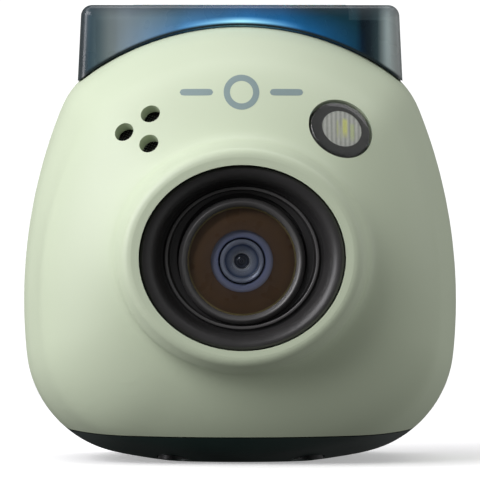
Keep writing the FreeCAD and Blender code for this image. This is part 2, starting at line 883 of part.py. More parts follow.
# ---------------------------------------------------------------- status light
def status_light():
    """Milky strip in the top of the block, over a light guide and its row of LEDs."""
    strip = box("strip_blank", ("-strip_half", "strip_half"), ("strip_front", "strip_rear"),
                ("strip_low", "strip_top"))
    low = cell("strip_low")
    keep(round_edges("status_light_window", strip, "strip_round",
                     lambda edge: edge.BoundBox.ZMax > low + 0.1))
    keep(box("light_guide", ("-guide_half", "guide_half"), ("guide_front", "guide_rear"),
             ("guide_low", "guide_top")))
    keep(box("led_board", ("-guide_half", "guide_half"), ("led_board_front", "led_board_rear"),
             ("led_board_low", "led_board_top")))
    for name, step in (("left", "-led_pitch"), ("middle", "0"), ("right", "led_pitch")):
        keep(box("status_led_" + name, (step + " - led_long / 2", step + " + led_long / 2"),
                 ("led_y - led_wide / 2", "led_y + led_wide / 2"),
                 ("led_board_top", "led_board_top + led_tall")))


# ---------------------------------------------------------------- lens
def lens_bezel():
    """Oval bezel: rounded lip, bowl that falls to a thin ridge, groove round the lens ring."""
    blank = oval_loft("bezel_blank", [
        ("bezel_half_long", "bezel_half_short", "bezel_front"),
        ("bezel_half_long", "bezel_half_short", "bezel_back"),
    ], True)
    dish = oval_loft("bezel_dish", [
        ("dish_half_long", "dish_half_short", "0"),
        ("dish_mid_long", "dish_mid_short", "dish_mid_depth"),
        ("ridge_half_long", "ridge_half_short", "ridge_depth"),
    ], False)
    groove = oval_loft("bezel_groove", [
        ("ridge_half_long - step", "ridge_half_short - step", "ridge_depth - step"),
        ("ridge_half_long - step", "ridge_half_short - step", "groove_depth"),
    ], True)
    bore = rod("bezel_bore_rod", "bezel_bore", "0", "bezel_back + wall", BACKWARD, y="front_y",
               z="lens_axis")
    rough = cut("bezel_rough", blank, dish, groove, bore)
    front = cell("front_y") + cell("bezel_front")
    keep(round_edges("lens_bezel", rough, "bezel_lip",
                     lambda edge: abs(edge.BoundBox.YMax - front) < 0.01
                     and edge.BoundBox.XMax > cell("bezel_half_long") - 0.1))


def lens_front():
    keep(turned("lens_ring", [
        ("ring_inner", "ring_front + ring_bevel"),
        ("ring_inner + ring_bevel / 2", "ring_front + ring_bevel / 4"),
        ("ring_crest - ring_bevel / 2", "ring_front"), ("ring_crest", "ring_front"),
        ("ring_outer - ring_bevel / 4", "ring_front + ring_bevel / 2"),
        ("ring_outer", "ring_front + 2 * ring_bevel"),
        ("ring_outer", "ring_back"), ("ring_seat_radius", "ring_back"),
        ("ring_seat_radius", "ring_seat"), ("ring_inner", "ring_seat"),
    ], on_lens_axis))
    keep(washer("lens_window", "0", "window_radius", "window_front", "window_back", on_lens_axis))
    keep(washer("window_mask", "mask_inner", "mask_outer", "mask_front", "mask_back", on_lens_axis))
    keep(washer("lens_gasket", "gasket_inner", "mask_outer", "gasket_front", "gasket_back", on_lens_axis))


def lens_module():
    """Barrel with its three elements and stop, screwed into a holder over the image sensor."""
    keep(turned("lens_barrel", [
        ("barrel_inner", "barrel_front"), ("barrel_outer", "barrel_front"), ("barrel_outer", "barrel_back"),
        ("barrel_lip", "barrel_back"), ("barrel_lip", "barrel_shelf"), ("barrel_inner", "barrel_shelf"),
    ], on_lens_axis))
    keep(turned("lens_retaining_ring", [
        ("retainer_mouth", "retainer_front"), ("retainer_outer", "retainer_front"),
        ("retainer_outer", "retainer_back"), ("retainer_inner", "retainer_back"),
        ("retainer_inner", "retainer_back - (retainer_back - retainer_front) / 2"),
    ], on_lens_axis))
    keep(turned("lens_element_front", [
        ("0", "element_tip"), ("element_nose / 2", "element_tip + (element_front - element_tip) / 4"),
        ("element_nose", "element_front"), ("element_radius", "element_front"),
        ("element_radius", "element_back"), ("0", "element_back"),
    ], on_lens_axis))
    keep(washer("aperture_stop", "stop_hole", "element_radius", "stop_front", "stop_back", on_lens_axis))
    keep(washer("lens_element_middle", "0", "element_radius", "middle_front", "middle_back", on_lens_axis))
    keep(washer("lens_element_rear", "0", "element_radius", "rear_front", "rear_back", on_lens_axis))
    flange = turned("holder_turned", [
        ("holder_bore", "holder_front"), ("holder_flange", "holder_front"),
        ("holder_flange", "holder_neck_depth"), ("holder_neck", "holder_neck_depth"),
        ("holder_neck", "holder_foot_depth + step"), ("holder_bore", "holder_foot_depth + step"),
    ], on_lens_axis)
    foot = box("holder_foot_box", ("-holder_foot", "holder_foot"),
               ("front_y + holder_foot_depth", "front_y + holder_back"),
               ("lens_axis - holder_foot", "lens_axis + holder_foot"))
    room = box("holder_room_box", ("-holder_room", "holder_room"),
               ("front_y + holder_room_depth", "front_y + holder_back + wall"),
               ("lens_axis - holder_room", "lens_axis + holder_room"))
    bore = rod("holder_bore_rod", "holder_bore", "holder_front", "holder_room_depth + step", BACKWARD,
               y="front_y + holder_front", z="lens_axis")
    keep(cut("lens_holder", fuse("holder_solid", flange, foot), room, bore))
    keep(box("infrared_filter", ("-filter_half", "filter_half"),
             ("front_y + filter_front", "front_y + filter_back"),
             ("lens_axis - filter_half", "lens_axis + filter_half")))
    keep(box("image_sensor", ("-sensor_half_wide", "sensor_half_wide"),
             ("front_y + sensor_front", "front_y + sensor_back"),
             ("lens_axis - sensor_half_tall", "lens_axis + sensor_half_tall")))
    keep(box("sensor_board", ("-sensor_board_half", "sensor_board_half"),
             ("front_y + sensor_board_front", "front_y + sensor_board_back"),
             ("sensor_board_low", "sensor_board_high")))


def sensor_flex():
    """Flat cable from the sensor board, over the battery, down to the main board."""
    start = "front_y + sensor_board_front - flex_thick"
    keep(plate("sensor_flex", "YZ_Plane", [
        (start, "flex_start"), (start, "flex_top"), ("board_front", "flex_top"),
        ("board_front", "flex_end"), ("board_front - flex_thick", "flex_end"),
        ("board_front - flex_thick", "flex_top - flex_thick"),
        (start + " + flex_thick", "flex_top - flex_thick"), (start + " + flex_thick", "flex_start"),
    ], "2 * flex_half", x="-flex_half"))


def chassis():
    """Plate behind the lens module, with two feet for the base screws."""
    blank = plate("chassis_plate", "XZ_Plane", [
        ("-chassis_half", "chassis_low"), ("chassis_half", "chassis_low"),
        ("chassis_half", "chassis_wing"), ("chassis_neck", "chassis_shoulder"),
        ("chassis_neck", "chassis_high"), ("-chassis_neck", "chassis_high"),
        ("-chassis_neck", "chassis_shoulder"), ("-chassis_half", "chassis_wing"),
    ], "chassis_back - chassis_front", holes=[
        ("screw_hole", "chassis_screw_x", "chassis_screw_z"),
        ("screw_hole", "-chassis_screw_x", "chassis_screw_z"),
        ("chassis_window", "0", "lens_axis"),
    ], y="chassis_back")
    feet = []
    sockets = []
    for side, sign in (("left", "-"), ("right", "")):
        spot = dict(x=sign + "foot_x", y="foot_y")
        feet.append(rod("foot_" + side, "foot_radius", "foot_low", "foot_high", z="foot_low", **spot))
        sockets.append(rod("foot_socket_" + side, "screw_socket", "foot_low - wall",
                           "base_screw_tip + 2 * step", z="foot_low - wall", **spot))
    keep(cut("front_chassis", fuse("chassis_with_feet", blank, *feet), *sockets))


def screw_profile(head_from, tip):
    """Pan head and shank along local Z, from the head's outer face to the tip."""
    return [
        ("0", head_from), ("screw_head", head_from), ("screw_head", head_from + " + screw_head_tall"),
        ("screw_shank", head_from + " + screw_head_tall"), ("screw_shank", tip), ("0", tip),
    ]


def screws():
    for side, sign in (("left", "-"), ("right", "")):
        keep(turned("base_screw_" + side, screw_profile("base_screw_head", "base_screw_tip"),
                    lambda body: place(body, x=sign + "foot_x", y="foot_y")))
        keep(turned("chassis_screw_" + side,
                    screw_profile("0", "chassis_back + screw_head_tall - chassis_screw_tip"),
                    lambda body: place(body, x=sign + "chassis_screw_x", z="chassis_screw_z",
                                       y="chassis_back + screw_head_tall", turn=FORWARD)))


# ---------------------------------------------------------------- flash and speaker
def flash():
    keep(turned("flash_window", [
        ("0", "flash_window_face"), ("flash_window_radius - flash_window_edge", "flash_window_face + step"),
        ("flash_window_radius", "flash_window_edge"), ("flash_window_radius", "flash_window_back"),
        ("0", "flash_window_back"),
    ], in_flash))
    keep(washer("flash_mask", "flash_mask_inner", "flash_mask_outer", "flash_mask_front", "flash_mask_back",
                in_flash))
    keep(washer("flash_lens", "0", "flash_lens_radius", "flash_lens_front", "flash_lens_back", in_flash))
    keep(turned("flash_reflector", [
        ("reflector_mouth", "reflector_front"), ("reflector_outer", "reflector_front"),
        ("reflector_outer", "reflector_back"), ("0", "reflector_back"),
        ("0", "reflector_floor_depth"), ("reflector_floor", "reflector_floor_depth"),
    ], in_flash))
    chip = plate("flash_chip", "XY_Plane", [
        ("-flash_chip_half", "-flash_chip_half"), ("flash_chip_half", "-flash_chip_half"),
        ("flash_chip_half", "flash_chip_half"), ("-flash_chip_half", "flash_chip_half"),
    ], "flash_chip_back - flash_chip_front")
    inward = flash_frame.Rotation.multVec(Vector(0, 0, 1))
    chip_base = flash_frame.Base + inward * cell("flash_chip_front")
    chip.Placement = Placement(chip_base, flash_frame.Rotation)
    keep(chip)
    keep(washer("flash_board", "0", "flash_board_radius", "flash_board_front", "flash_board_back",
                in_flash))


def speaker():
    keep(washer("speaker_mesh", "0", "mesh_radius", "mesh_front", "mesh_back", in_speaker))
    keep(washer("speaker_gasket", "speaker_gasket_inner", "mesh_radius", "mesh_back + step",
                "speaker_gasket_back", in_speaker))
    keep(turned("speaker_basket", [
        ("basket_inner", "basket_front"), ("basket_outer", "basket_front"),
        ("basket_outer", "basket_back"),
        ("0", "basket_back"), ("0", "basket_floor"), ("basket_inner", "basket_floor"),
    ], in_speaker))
    keep(turned("speaker_diaphragm", [
        ("0", "diaphragm_dome"), ("basket_inner / 2", "diaphragm_dome + step"),
        ("basket_inner - step", "diaphragm_rim"), ("basket_inner - step", "diaphragm_rim + diaphragm_thick"),
        ("basket_inner / 2", "diaphragm_dome + step + diaphragm_thick"),
        ("0", "diaphragm_dome + diaphragm_thick"),
    ], in_speaker))
    keep(washer("speaker_magnet", "0", "magnet_radius", "magnet_front", "magnet_back", in_speaker))


# ---------------------------------------------------------------- battery and boards
def battery():
    blank = box("battery_blank", ("-battery_half", "battery_half"), ("battery_front", "battery_back"),
                ("battery_low", "battery_high"))
    deep = cell("battery_back") - cell("battery_front")
    keep(round_edges("battery", blank, "battery_round", lambda edge: edge.Length > deep + 1))
    keep(plate("battery_cradle", "XY_Plane", [
        ("-cradle_half", "cradle_front"), ("-cradle_inner", "cradle_front"),
        ("-cradle_inner", "cradle_floor"), ("cradle_inner", "cradle_floor"),
        ("cradle_inner", "cradle_front"), ("cradle_half", "cradle_front"),
        ("cradle_half", "cradle_back"), ("-cradle_half", "cradle_back"),
    ], "cradle_high - cradle_low", z="cradle_low"))


def main_board():
    keep(plate("main_board", "XZ_Plane", [
        ("-board_half", "board_low"), ("board_half", "board_low"),
        ("board_half", "board_high"), ("-board_half", "board_high"),
    ], "board_back - board_front", y="board_back"))
    keep(box("processor_chip", ("processor_left", "processor_left + processor_side"),
             ("board_front - processor_tall", "board_front"),
             ("processor_low", "processor_low + processor_side")))
    keep(box("memory_chip", ("memory_left", "memory_left + memory_wide"),
             ("board_front - memory_tall", "board_front"), ("memory_low", "memory_low + memory_high")))
    can = box("can_blank", ("can_left", "can_right"), ("can_front", "board_front"),
              ("can_low", "can_high"))
    room = box("can_room", ("can_left + can_sheet", "can_right - can_sheet"),
               ("can_front + can_sheet", "board_front + wall"),
               ("can_low + can_sheet", "can_high - can_sheet"))
    keep(cut("shield_can", can, room))


def charging_port():
    """Socket on the main board, the plate round its mouth, and the hinged door in the side."""
    middle_y = "board_back + port_half_wide"
    shell = pill("port_shell", "port_half_tall", "port_half_wide", "port_inner", "port_mouth")
    room = pill("port_room", "port_half_tall - port_sheet", "port_half_wide - port_sheet",
                "port_floor", "port_mouth + wall")
    socket = place(cut("usb_socket", shell, room), y=middle_y, z="port_z")
    keep(socket)
    keep(box("usb_tongue", ("port_floor", "tongue_end"),
             (middle_y + " - tongue_half_thick", middle_y + " + tongue_half_thick"),
             ("port_z - tongue_half_tall", "port_z + tongue_half_tall")))
    blank = box("frame_blank", ("frame_inner", "frame_outer"), ("frame_front", "frame_back"),
                ("port_z - frame_half_tall", "port_z + frame_half_tall"))
    mouth = pill("frame_mouth", "port_half_tall", "port_half_wide", "frame_inner - wall",
                 "frame_outer + wall")
    place(mouth, y=middle_y, z="port_z")
    keep(cut("port_frame", blank, mouth))
    cover_skin = cut("door_skin", outer, cavity)
    cover_box = box("door_box", ("frame_outer", "reach"), ("door_front", "door_back"),
                    ("port_z - door_half_tall", "port_z + door_half_tall"))
    notch = rod("door_nail_notch", "door_notch", "-door_notch", "door_notch",
                x="half_width + door_notch / 4", y="door_front", z="port_z - door_notch")
    keep(cut("port_cover", common("door_piece", cover_skin, cover_box), notch))


# ---------------------------------------------------------------- buttons
def shutter_button():
    keep(turned("shutter_button", [
        ("0", "0"), ("button_shoulder / 2", "button_crown / 4"), ("button_shoulder", "button_crown"),
        ("button_radius", "button_bevel"), ("button_radius", "button_flange_front"),
        ("button_flange", "button_flange_front"), ("button_flange", "button_back"),
        ("button_bore", "button_back"), ("button_bore", "button_roof"),
        ("button_stem", "button_roof"), ("button_stem", "button_stem_end"), ("0", "button_stem_end"),
    ], on_button_axis))
    keep(washer("switch_plunger", "0", "plunger_radius", "plunger_start", "plunger_end", on_button_axis))
    keep(turned("button_light_ring", [
        ("glow_inner", "glow_face"), ("glow_outer", "glow_face"), ("glow_outer", "glow_flange_front"),
        ("glow_flange", "glow_flange_front"), ("glow_flange", "glow_back"), ("glow_bore", "glow_back"),
        ("glow_bore", "glow_step"), ("glow_inner", "glow_step"),
    ], on_button_axis))
    block = box("switch_block", ("-switch_half", "switch_half"),
                ("button_crown_y - switch_back", "button_crown_y - switch_front"),
                ("button_z - switch_half", "button_z + switch_half"))
    bore = rod("switch_bore_rod", "switch_bore", "switch_front", "switch_bore_end", FORWARD,
               y="button_crown_y - switch_front", z="button_z")
    keep(cut("shutter_switch", block, bore))
    keep(washer("switch_board", "0", "switch_board_radius", "switch_back", "switch_board_back",
                on_button_axis))


def power_button():
    """Pill that follows the side of the housing, held by a flange inside."""
    bar = pill("power_bar", "power_half_tall", "power_half_wide", "-reach", "-power_inner")
    place(bar, y="power_y", z="power_z")
    flange = pill("power_flange", "power_half_tall + power_flange_grow",
                  "power_half_wide + power_flange_grow", "-power_flange_outer", "-power_flange_inner")
    place(flange, y="power_y", z="power_z")
    keep(fuse("power_button", common("power_face", bar, grown), flange))
    keep(box("power_switch", ("-power_switch_outer", "-power_switch_inner"),
             ("board_back", "power_switch_back"),
             ("power_z - power_switch_half_tall", "power_z + power_switch_half_tall")))


def tripod_bush():
    keep(turned("tripod_bush", [
        ("bush_bore", "bush_low"), ("bush_outer", "bush_low"), ("bush_outer", "bush_high"),
        ("0", "bush_high"), ("0", "bush_roof"), ("bush_bore", "bush_roof"),
    ], upright))


front_shell()
rear_housing()
base_cover()
status_light()
lens_bezel()
lens_front()
lens_module()
sensor_flex()
chassis()
screws()
flash()
speaker()
battery()
main_board()
charging_port()
shutter_button()
power_button()
tripod_bush()
doc.recompute()

# ---------------------------------------------------------------- checks and files
failed = [item.Name for item in doc.Objects if "Invalid" in item.State or "Error" in item.State]
if failed:
    raise RuntimeError("objects failed: " + ", ".join(failed))
for item in parts:
    if item.Shape.isNull() or not item.Shape.isValid():
        raise RuntimeError("bad shape: " + item.Label)

os.makedirs("parts", exist_ok=True)
for item in parts:
    item.Shape.exportStep("parts/%s.step" % item.Label)
print("%d pieces written" % len(parts))
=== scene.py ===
import json
import math

import bmesh
import bpy
from mathutils import Matrix, Vector
from mathutils.bvhtree import BVHTree


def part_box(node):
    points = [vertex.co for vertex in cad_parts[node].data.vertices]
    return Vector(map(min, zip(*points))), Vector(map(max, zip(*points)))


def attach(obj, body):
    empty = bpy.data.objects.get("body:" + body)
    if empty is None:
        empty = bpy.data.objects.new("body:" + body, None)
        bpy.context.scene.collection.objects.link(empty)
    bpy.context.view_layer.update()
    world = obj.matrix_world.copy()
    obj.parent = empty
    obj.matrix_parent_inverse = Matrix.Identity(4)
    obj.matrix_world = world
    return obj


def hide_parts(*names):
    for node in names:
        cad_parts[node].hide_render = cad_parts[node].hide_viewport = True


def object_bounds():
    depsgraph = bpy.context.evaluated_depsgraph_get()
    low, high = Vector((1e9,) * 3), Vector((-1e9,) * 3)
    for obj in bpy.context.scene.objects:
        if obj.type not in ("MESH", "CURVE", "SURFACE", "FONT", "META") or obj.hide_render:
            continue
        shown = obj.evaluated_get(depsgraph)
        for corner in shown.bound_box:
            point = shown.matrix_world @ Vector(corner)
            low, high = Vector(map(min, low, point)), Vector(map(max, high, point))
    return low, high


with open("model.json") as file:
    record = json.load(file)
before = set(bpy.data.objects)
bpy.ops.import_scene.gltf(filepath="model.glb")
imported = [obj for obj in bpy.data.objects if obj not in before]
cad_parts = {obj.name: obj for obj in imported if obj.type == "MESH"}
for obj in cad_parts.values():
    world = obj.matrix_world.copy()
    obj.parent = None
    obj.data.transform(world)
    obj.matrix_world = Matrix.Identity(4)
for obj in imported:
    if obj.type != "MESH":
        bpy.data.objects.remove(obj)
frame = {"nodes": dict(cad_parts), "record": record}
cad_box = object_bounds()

# Palm-size digital camera. Lengths are in millimetres, and MM turns them into metres. What comes from
# the frame, such as FRONT and REAR, is in metres, and so are the places of the lights and the camera.
MM = 0.001
FRONT, REAR = (corner.y for corner in cad_box)


# ---------------------------------------------------------------- places
def middle(node):
    low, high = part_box(node)
    return (low + high) / 2


def placed(origin, inward, level=(1, 0, 0)):
    """Matrix whose local Z points inward and whose local X stays as near to level as it can."""
    z = inward.normalized()
    x = Vector(level) - Vector(level).dot(z) * z
    x.normalize()
    matrix = Matrix((x, z.cross(x), z)).transposed().to_4x4()
    matrix.translation = origin
    return matrix


def stack(front_node, front_depth, back_node):
    """Place of a stack of round pieces; front_depth is how deep the middle of front_node lies in it."""
    start = middle(front_node)
    inward = (middle(back_node) - start).normalized()
    return placed(start - inward * front_depth * MM, inward)


FLASH_LENS_DEPTH, SPEAKER_MESH_DEPTH = 1.45, 1.8
# Places of the round pieces. LENS and COLLAR start at the front of the object, and BUTTON at its rear.
LENS = placed(Vector((0, FRONT, middle("lens_ring").z)), Vector((0, 1, 0)))
COLLAR = placed(Vector((0, FRONT, middle("lens_bezel").z)), Vector((0, 1, 0)))
FLASH = stack("flash_lens", FLASH_LENS_DEPTH, "flash_board")
SPEAKER = stack("speaker_mesh", SPEAKER_MESH_DEPTH, "speaker_magnet")
BUTTON = placed(Vector((0, REAR, middle("shutter_button").z)), Vector((0, -1, 0)))
UPRIGHT = Matrix.Identity(4)


# ---------------------------------------------------------------- materials
def new_material(name):
    material = bpy.data.materials.new(name)
    material.use_nodes = True
    tree = material.node_tree
    return material, tree.nodes, tree.links, tree.nodes["Principled BSDF"]


def math_node(nodes, links, operation, *values):
    node = nodes.new("ShaderNodeMath")
    node.operation = operation
    for socket, value in zip(node.inputs, values):
        if isinstance(value, (int, float)):
            socket.default_value = value
        else:
            links.new(value, socket)
    return node.outputs[0]


def noise(nodes, links, size, detail=2.0, stretch=(1, 1, 1)):
    """Soft lumps about size millimetres across."""
    where = nodes.new("ShaderNodeTexCoord")
    mapping = nodes.new("ShaderNodeMapping")
    mapping.inputs["Scale"].default_value = stretch
    texture = nodes.new("ShaderNodeTexNoise")
    texture.inputs["Scale"].default_value = 1 / (size * MM)
    texture.inputs["Detail"].default_value = detail
    links.new(where.outputs["Object"], mapping.inputs["Vector"])
    links.new(mapping.outputs["Vector"], texture.inputs["Vector"])
    return texture.outputs[0]


def mixed_colour(nodes, links, factor, first, second):
    node = nodes.new("ShaderNodeMix")
    node.data_type = "RGBA"
    for socket, value in ((node.inputs[0], factor), (node.inputs[6], first), (node.inputs[7], second)):
        if isinstance(value, bpy.types.NodeSocket):
            links.new(value, socket)
        elif isinstance(value, tuple):
            socket.default_value = (*value, 1)
        else:
            socket.default_value = value
    return node.outputs[2]


def ranged(nodes, links, value, low, high, start=0.3, end=0.7):
    node = nodes.new("ShaderNodeMapRange")
    node.inputs["From Min"].default_value = start
    node.inputs["From Max"].default_value = end
    node.inputs["To Min"].default_value = low
    node.inputs["To Max"].default_value = high
    links.new(value, node.inputs["Value"])
    return node.outputs["Result"]


def relief(nodes, links, shader, height, depth):
    """Bump of depth micrometres."""
    bump = nodes.new("ShaderNodeBump")
    bump.inputs["Distance"].default_value = depth * MM * MM
    links.new(height, bump.inputs["Height"])
    links.new(bump.outputs["Normal"], shader.inputs["Normal"])


def set_sockets(shader, sockets):
    """Sets values that are the same all over; an underscore in a name stands for a space."""
    for socket, value in sockets.items():
        shader.inputs[socket.replace("_", " ")].default_value = value


def see_through(nodes, links, shader, share, tint=(1, 1, 1)):
    """Output that is the shader by its share, and tinted see-through for the rest."""
    through = nodes.new("ShaderNodeBsdfTransparent")
    through.inputs["Color"].default_value = (*tint, 1)
    mix = nodes.new("ShaderNodeMixShader")
    links.new(share, mix.inputs[0])
    links.new(through.outputs[0], mix.inputs[1])
    links.new(shader.outputs[0], mix.inputs[2])
    links.new(mix.outputs[0], nodes["Material Output"].inputs["Surface"])


def surface(name, colour, rough, grain=0.12, depth=3.0, patch=7.0, change=0.05, stretch=(1, 1, 1),
            **sockets):
    """A finish with fine relief, whose colour and gloss drift a little over the piece."""
    material, nodes, links, shader = new_material(name)
    drift = noise(nodes, links, patch, 3.0)
    dark = tuple(part * (1 - change) for part in colour)
    light = tuple(min(part * (1 + change), 1) for part in colour)
    links.new(mixed_colour(nodes, links, drift, dark, light), shader.inputs["Base Color"])
    links.new(ranged(nodes, links, drift, rough * 0.88, rough * 1.12), shader.inputs["Roughness"])
    relief(nodes, links, shader, noise(nodes, links, grain, 2.0, stretch), depth)
    set_sockets(shader, sockets)
    return material


def banded(nodes, links, value, bands):
    """Colour that changes with a value; bands are (value, colour), lowest value first."""
    first, last = bands[0][0], bands[-1][0]
    ramp = nodes.new("ShaderNodeValToRGB")
    links.new(ranged(nodes, links, value, 0.0, 1.0, first, last), ramp.inputs[0])
    stops = ramp.color_ramp.elements
    for index, (place, colour) in enumerate(bands):
        stop = stops[index] if index < len(stops) else stops.new(1)
        stop.position = (place - first) / (last - first)
        stop.color = (*colour, 1)
    return ramp.outputs[0]


def own_place(nodes, links):
    """The piece's own X, Y and Z, in millimetres."""
    where = nodes.new("ShaderNodeTexCoord")
    parts = nodes.new("ShaderNodeSeparateXYZ")
    links.new(where.outputs["Object"], parts.inputs[0])
    return [math_node(nodes, links, "MULTIPLY", parts.outputs[axis], 1 / MM) for axis in "XYZ"]


def hypotenuse(nodes, links, first, second):
    squares = [math_node(nodes, links, "MULTIPLY", side, side) for side in (first, second)]
    return math_node(nodes, links, "SQRT", math_node(nodes, links, "ADD", *squares))


def ringed(name, bands, rough, grain=0.08, depth=1.0, **sockets):
    """Turned piece whose colour changes with distance from its axis, in millimetres."""
    material, nodes, links, shader = new_material(name)
    x, y, _ = own_place(nodes, links)
    rings = banded(nodes, links, hypotenuse(nodes, links, x, y), bands)
    fine = noise(nodes, links, grain)
    links.new(mixed_colour(nodes, links, 0.02, rings, fine), shader.inputs["Base Color"])
    links.new(ranged(nodes, links, fine, rough * 0.85, rough * 1.15), shader.inputs["Roughness"])
    relief(nodes, links, shader, fine, depth)
    set_sockets(shader, sockets)
    return material


def clear(name, tint, index=1.5, rough=0.02):
    """Clear plastic or coated glass: see-through, with a mirror share that grows at the edges."""
    material, nodes, links, shader = new_material(name)
    shader.inputs["Base Color"].default_value = (1, 1, 1, 1)
    shader.inputs["Metallic"].default_value = 1.0
    smear = noise(nodes, links, 3.0, 3.0)
    links.new(ranged(nodes, links, smear, rough, rough * 1.6), shader.inputs["Roughness"])
    relief(nodes, links, shader, noise(nodes, links, 2.0), 0.1)
    edge = nodes.new("ShaderNodeFresnel")
    edge.inputs["IOR"].default_value = index
    see_through(nodes, links, shader, edge.outputs[0], tint)
    return material


# The arch that the block sits on: the height of its centre, and its radius.
ARCH_CENTRE, ARCH_RADIUS = 16.9, 25.75


def over_arch(nodes, links, x, z):
    """How far a place lies above the arch of the front shell, in millimetres."""
    up = math_node(nodes, links, "SUBTRACT", z, ARCH_CENTRE)
    return math_node(nodes, links, "SUBTRACT", hypotenuse(nodes, links, x, up), ARCH_RADIUS)


# Colours across the block on top, by x in millimetres: dark ends, a paler left half that is painted sheen
# of the light from the left, a teal right half, and a painted reflection from 14.3 to 15.3 mm.
BLOCK_TINTS_AND_SHEEN = [
    (-16.0, (0.02, 0.024, 0.025)), (-15.3, (0.016, 0.022, 0.028)), (-14.7, (0.04, 0.08, 0.11)),
    (-13.7, (0.11, 0.16, 0.18)), (-12.8, (0.22, 0.27, 0.28)), (-12.2, (0.24, 0.29, 0.31)),
    (-11.8, (0.27, 0.33, 0.36)), (-11.0, (0.28, 0.35, 0.4)), (-9.0, (0.22, 0.31, 0.37)),
    (-6.0, (0.1, 0.19, 0.24)), (0.0, (0.035, 0.1, 0.14)), (5.0, (0.012, 0.06, 0.09)),
    (11.2, (0.008, 0.05, 0.075)), (11.9, (0.004, 0.012, 0.02)), (12.6, (0.012, 0.024, 0.034)),
    (13.4, (0.04, 0.07, 0.08)), (14.3, (0.4, 0.48, 0.48)), (15.3, (0.4, 0.43, 0.42)),
    (16.0, (0.12, 0.13, 0.13))]
# Where the block begins, over the arch; where its dark top begins, by height; and how far the light of
# the diodes reaches, over the arch and to each side, as a wide haze and as a narrow hot line.
BLOCK_FOOT = (-0.05, 0.15)
BLOCK_TOP = (43.2, 44.2)
HAZE_UP, HAZE_ASIDE, HAZE_POWER = (0.1, 2.4), (4.0, 12.4), 0.36
HOT_UP, HOT_ASIDE, HOT_POWER = (0.2, 0.65), (0.3, 6.5), 0.8


def smoked():
    """Smoked plastic: near black on the body, and in the block on top teal with a blue light inside,
    with painted sheen over its left half and a painted reflection near its right end.
    """
    material, nodes, links, shader = new_material("smoked_plastic")
    x, _, z = own_place(nodes, links)
    above = over_arch(nodes, links, x, z)
    in_block = ranged(nodes, links, above, 0.0, 1.0, *BLOCK_FOOT)
    aside = math_node(nodes, links, "ABSOLUTE", x)
    drift = noise(nodes, links, 5.0, 3.0)
    body = mixed_colour(nodes, links, drift, (0.012, 0.02, 0.022), (0.022, 0.034, 0.037))
    top = ranged(nodes, links, z, 0.0, 0.7, *BLOCK_TOP)
    block = mixed_colour(nodes, links, top, banded(nodes, links, x, BLOCK_TINTS_AND_SHEEN), (0.02, 0.024, 0.026))
    links.new(mixed_colour(nodes, links, in_block, body, block), shader.inputs["Base Color"])
    links.new(ranged(nodes, links, drift, 0.24, 0.34), shader.inputs["Roughness"])
    relief(nodes, links, shader, noise(nodes, links, 0.25), 0.8)
    shader.inputs["Coat Weight"].default_value = 0.1
    haze = math_node(nodes, links, "MULTIPLY", ranged(nodes, links, above, 1.0, 0.0, *HAZE_UP),
                     ranged(nodes, links, aside, 1.0, 0.0, *HAZE_ASIDE))
    patchy = ranged(nodes, links, noise(nodes, links, 3.5), 0.75, 1.2)
    haze = math_node(nodes, links, "MULTIPLY", haze, patchy)
    hot = math_node(nodes, links, "MULTIPLY", ranged(nodes, links, above, 1.0, 0.0, *HOT_UP),
                    ranged(nodes, links, aside, 1.0, 0.0, *HOT_ASIDE))
    glow = mixed_colour(nodes, links, hot, (0.008, 0.28, 0.9), (0.4, 0.85, 1.0))
    power = math_node(nodes, links, "ADD", math_node(nodes, links, "MULTIPLY", haze, HAZE_POWER),
                      math_node(nodes, links, "MULTIPLY", hot, HOT_POWER))
    links.new(glow, shader.inputs["Emission Color"])
    links.new(math_node(nodes, links, "MULTIPLY", power, in_block), shader.inputs["Emission Strength"])
    solid = ranged(nodes, links, in_block, 0.97, 0.84, 0.0, 1.0)
    see_through(nodes, links, shader, solid, (0.66, 0.78, 0.8))
    return material


# Where the light in the guide fades out, to each side and by height.
GUIDE_ASIDE, GUIDE_UP = (1.0, 11.0), (40.0, 42.8)


def glowing_guide():
    """Clear light guide lit from below by blue diodes, brightest in the middle of its lower edge."""
    material, nodes, links, shader = new_material("clear_plastic")
    x, _, z = own_place(nodes, links)
    sides = ranged(nodes, links, math_node(nodes, links, "ABSOLUTE", x), 1.0, 0.1, *GUIDE_ASIDE)
    low = ranged(nodes, links, z, 1.0, 0.2, *GUIDE_UP)
    lit = math_node(nodes, links, "MULTIPLY", math_node(nodes, links, "MULTIPLY", sides, low),
                    ranged(nodes, links, noise(nodes, links, 3.0), 0.8, 1.2))
    colour = mixed_colour(nodes, links, lit, (0.05, 0.25, 0.6), (0.25, 0.7, 1.0))
    links.new(colour, shader.inputs["Base Color"])
    links.new(colour, shader.inputs["Emission Color"])
    links.new(math_node(nodes, links, "MULTIPLY", lit, 2.5), shader.inputs["Emission Strength"])
    shader.inputs["Roughness"].default_value = 0.25
    return material


# Ribs of the flash lens, and how many rings of points its ribbed face has.
RIB_PITCH, RIB_HEIGHT, RIB_RINGS = 0.45, 0.06, 44
# Painted image of the yellow phosphor, drawn out into stripes in the flash lens: middle, half width,
# top, bottom, colour, share. Down is positive.
STRIPES = (
    (0.32, 0.26, -1.15, 0.75, (1.0, 1.0, 0.35), 1.0),
    (1.05, 0.22, -0.7, 1.1, (0.8, 0.9, 0.42), 0.7),
    (-0.42, 0.1, -0.9, 0.9, (0.8, 0.85, 0.35), 0.6),
    (-0.1, 0.16, -0.3, 1.2, (0.8, 0.82, 0.6), 0.6))


